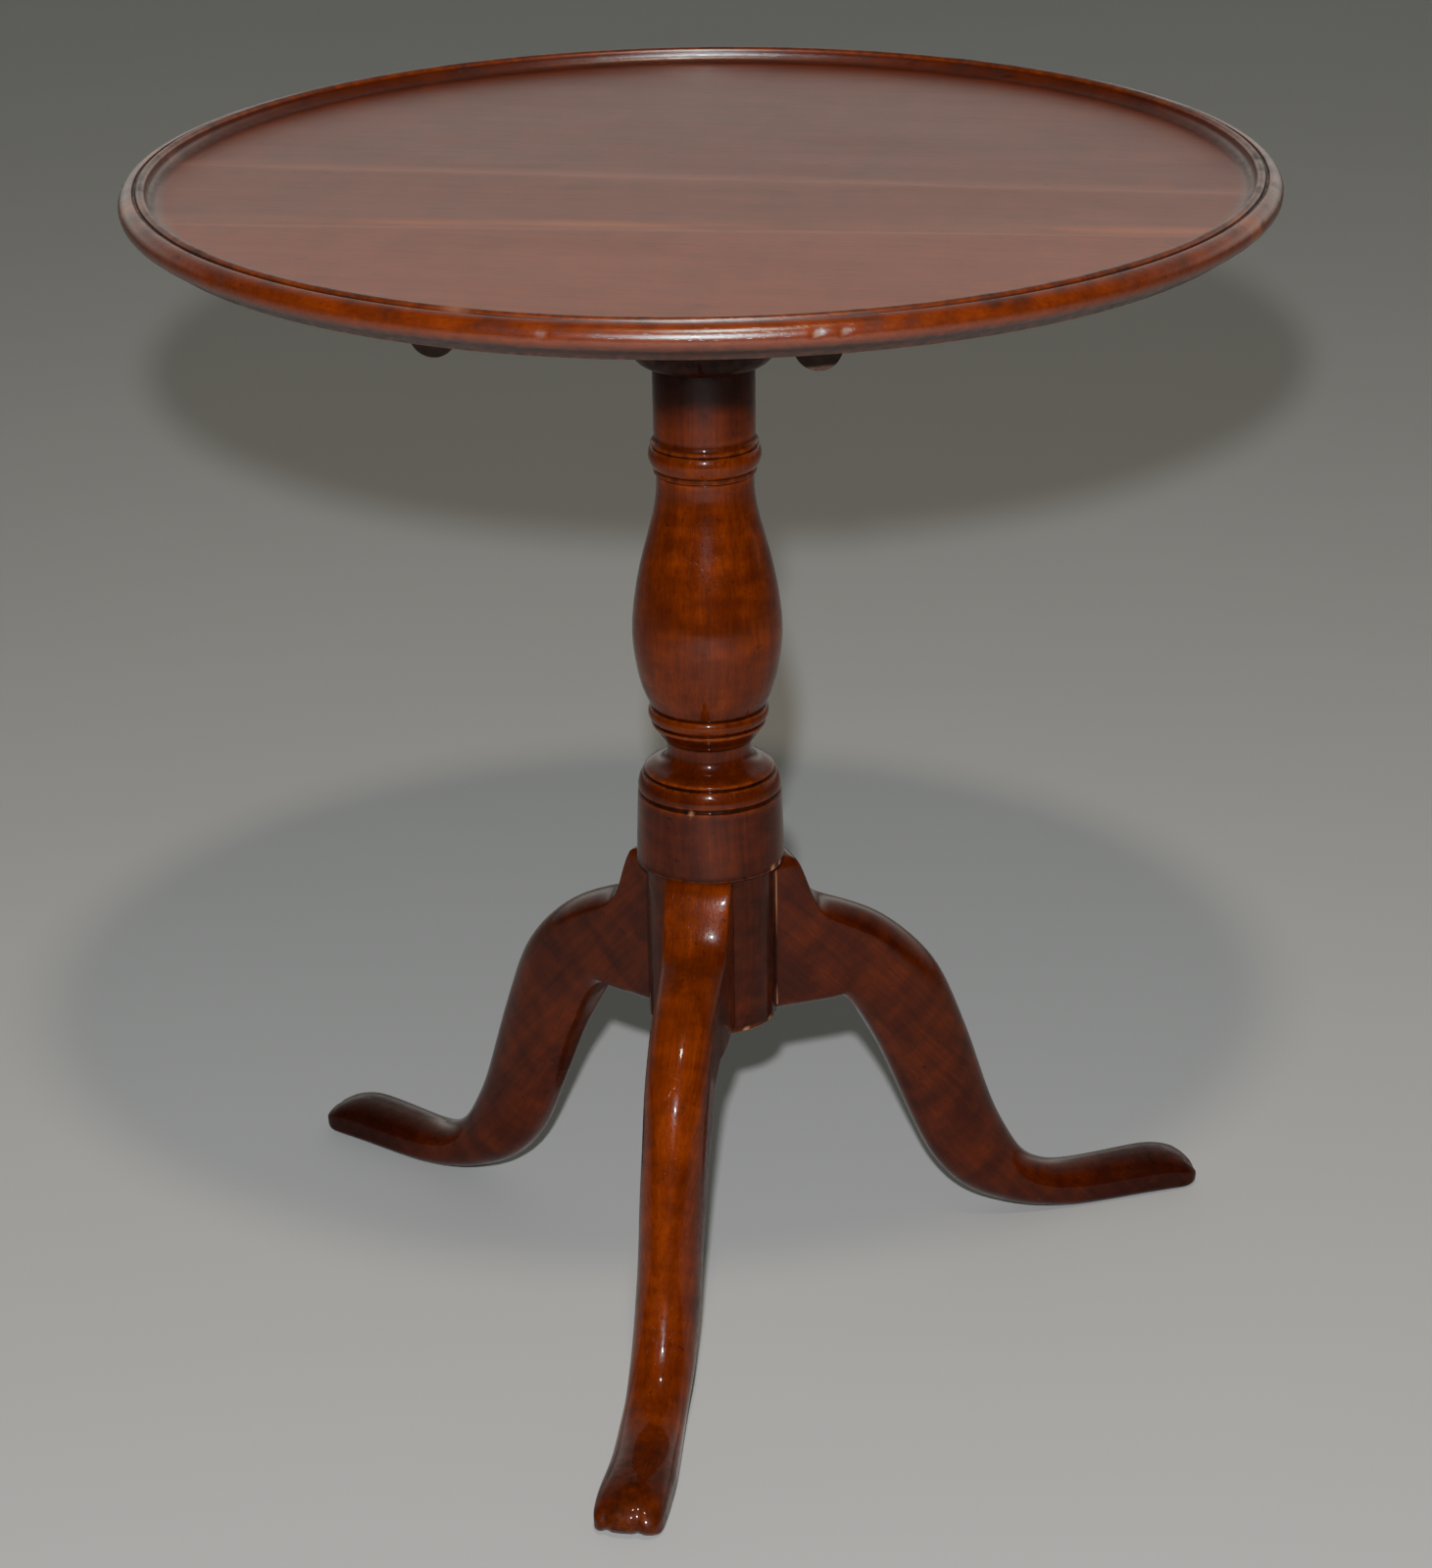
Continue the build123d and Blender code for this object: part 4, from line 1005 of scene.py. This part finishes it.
class MakeMetalwork(Operator):
    """Make the catch, its keeper, the strap under the pillar and every screw"""

    bl_idname = "table.make_metalwork"
    bl_label = "Make catch, strap and screws"

    def execute(self, context):
        metal = settings(context).metal
        brass = old_metal("Old brass", metal.brass, metal.tarnish, 0.26, 0.95)
        iron = old_metal("Old iron", metal.iron, metal.rust, 0.5, 0.7, 120.0)
        steel = old_metal("Spring steel", metal.steel, metal.rust, 0.35, 0.9, 160.0)
        for name, node, body, edge in (
                ("brass_plate", "catch_plate", "top", 0.25), ("brass_case", "catch_case", "top", 0.5),
                ("brass_bolt", "catch_bolt", "bolt", 0.3), ("brass_knob", "catch_knob", "bolt", 0),
                ("brass_keeper", "keeper_plate", "base", 0.3)):
            eased_copy(name, node, body, brass, edge * MM)
        eased_copy("iron_spider", "iron_strap", "base", iron, 0.35 * MM)
        for node in ("bearer_screws_left", "bearer_screws_right", "strap_screws", "catch_screws",
                     "keeper_screws"):
            recoat(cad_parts[node], iron)
        coil = eased_copy("spring_coil", "catch_spring", "top", steel, 0)
        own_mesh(coil)
        return {"FINISHED"}


def recoat(piece, material):
    """Gives a frame part that keeps its own shape a new material."""
    if not piece.material_slots:
        piece.data.materials.append(material)
    for slot in piece.material_slots:
        slot.material = material


# ---------------------------------------------------------------- the stage

FLOOR_REACH = 9.0
CAMERA_PLACE = Vector((0.41743, -2.34920, 1.28982))
COOL_LAMP_PLACE = CAMERA_PLACE + Vector((-0.04, 0.05, 0.19))
WARM_LAMP_PLACE = Vector((0.34, -1.25, 2.75))
WARM_LAMP_SHARE = 0.32
CAMERA_DOWN, CAMERA_YAW, CAMERA_ROLL = (math.radians(a) for a in (21.963, -9.985, -0.840))


def add_camera(scene):
    """A long lens a little above the top, turned to the left and down."""
    level = math.cos(CAMERA_DOWN)
    forward = Vector((math.sin(CAMERA_YAW) * level, math.cos(CAMERA_YAW) * level,
                      -math.sin(CAMERA_DOWN)))
    side = Vector((math.cos(CAMERA_YAW), -math.sin(CAMERA_YAW), 0))
    above = side.cross(forward)
    right = math.cos(CAMERA_ROLL) * side + math.sin(CAMERA_ROLL) * above
    up = math.cos(CAMERA_ROLL) * above - math.sin(CAMERA_ROLL) * side
    data = bpy.data.cameras.new("Camera")
    data.lens, data.sensor_width = 97.34, 36.0
    camera = bpy.data.objects.new("Camera", data)
    scene.collection.objects.link(camera)
    turn = Matrix((right, up, -forward)).transposed().to_4x4()
    camera.matrix_world = Matrix.Translation(CAMERA_PLACE) @ turn
    scene.camera = camera


def add_lamp(scene, name, place, size, power, tint):
    """A soft round lamp that faces the middle of the table."""
    data = bpy.data.lights.new(name, "AREA")
    data.shape, data.size, data.energy, data.color = "DISK", size, power, tint
    lamp = bpy.data.objects.new(name, data)
    scene.collection.objects.link(lamp)
    lamp.location = place
    lamp.rotation_euler = (Vector((0, 0, 0.4)) - place).to_track_quat("-Z", "Y").to_euler()


def add_world(scene, stage):
    """A plain pale room, lighter behind the table than behind the camera, and lightest a little above the
    floor."""
    world = bpy.data.worlds.new("Pale room")
    world.use_nodes = True
    scene.world = world
    t = Tree(world.node_tree)
    _, y, z = t.add("SeparateXYZ", {0: t.add("TexCoord").outputs["Generated"]}).outputs
    world.node_tree.nodes["Background"].inputs["Color"].default_value = (0.97, 1.0, 0.93, 1)
    wall = t.times(t.spread(y, 0.1, 0.85, stage.room, stage.wall), t.spread(z, 0.12, 0.42, 1.45, 0.55))
    wall = t.times(wall, t.spread(z, 0.02, 0.16, 0.40, 1.0))
    t.feed(world.node_tree.nodes["Background"].inputs["Strength"], wall)


class MakeStage(Operator):
    """Make the floor, the lamps, the pale room and the camera"""

    bl_idname = "table.make_stage"
    bl_label = "Make stage"

    def execute(self, context):
        scene, stage = context.scene, settings(context).stage
        mesh = bpy.data.meshes.new("floor")
        corners = [(x * FLOOR_REACH, y * FLOOR_REACH, 0) for x, y in ((-1, -1), (1, -1), (1, 1), (-1, 1))]
        mesh.from_pydata(corners, [], [(0, 1, 2, 3)])
        material, t, shader = new_material("Pale floor")
        cloud = t.spread(t.noise(t.place(), 2.0, 3.0), 0.3, 0.7, 0.97, 1.0)
        t.feed(shader.inputs["Base Color"], t.shaded(tuple(stage.floor), cloud))
        shader.inputs["Roughness"].default_value = 0.75
        mesh.materials.append(material)
        floor = bpy.data.objects.new("floor", mesh)
        scene.collection.objects.link(floor)
        add_camera(scene)
        add_world(scene, stage)
        add_lamp(scene, "Cool lamp", COOL_LAMP_PLACE, 0.06, stage.lamp, (0.93, 0.96, 1.0))
        add_lamp(scene, "Warm lamp", WARM_LAMP_PLACE, 0.22, stage.lamp * WARM_LAMP_SHARE, (1.0, 0.84, 0.66))
        return {"FINISHED"}


# ---------------------------------------------------------------- panel and start

class TableSizes(PropertyGroup):
    """All the settings of the table and its stage"""

    top: PointerProperty(type=TopSizes, name="Top", description="Sizes of the top")
    pillar: PointerProperty(type=PillarSizes, name="Pillar", description="Sizes of the pillar")
    legs: PointerProperty(type=LegSizes, name="Legs", description="Sizes of the legs")
    wood: PointerProperty(type=WoodFinish, name="Wood", description="Colours and gloss of the wood")
    metal: PointerProperty(type=MetalFinish, name="Metal", description="Colours of the metal")
    stage: PointerProperty(type=StageSettings, name="Stage", description="Floor and light")


MAKERS = (MakeTop, MakePillar, MakeLegs, MakeBearers, MakeMetalwork, MakeStage)


class TABLE_PT_pieces(Panel):
    """The table's pieces and what can be set for them"""

    bl_label = "Tilt top table"
    bl_space_type = "VIEW_3D"
    bl_region_type = "UI"
    bl_category = "Table"

    def draw(self, context):
        for maker in MAKERS:
            self.layout.operator(maker.bl_idname)
        sizes = settings(context)
        for part in ("top", "pillar", "legs", "wood", "metal", "stage"):
            box = self.layout.box()
            box.label(text=part.capitalize())
            for name in getattr(sizes, part).bl_rna.properties.keys():
                if name not in ("rna_type", "name"):
                    box.prop(getattr(sizes, part), name)


CLASSES = (TopSizes, PillarSizes, LegSizes, WoodFinish, MetalFinish, StageSettings, TableSizes, *MAKERS,
           TABLE_PT_pieces)


def register():
    """Makes the classes and the settings known to Blender."""
    for cls in CLASSES:
        bpy.utils.register_class(cls)
    bpy.types.Scene.table_sizes = PointerProperty(type=TableSizes)


def unregister():
    """Takes the classes and the settings out again."""
    del bpy.types.Scene.table_sizes
    for cls in reversed(CLASSES):
        bpy.utils.unregister_class(cls)


def main():
    """Makes every piece and the stage."""
    register()
    for maker in MAKERS:
        part, action = maker.bl_idname.split(".")
        getattr(getattr(bpy.ops, part), action)()


if __name__ == "__main__":
    main()
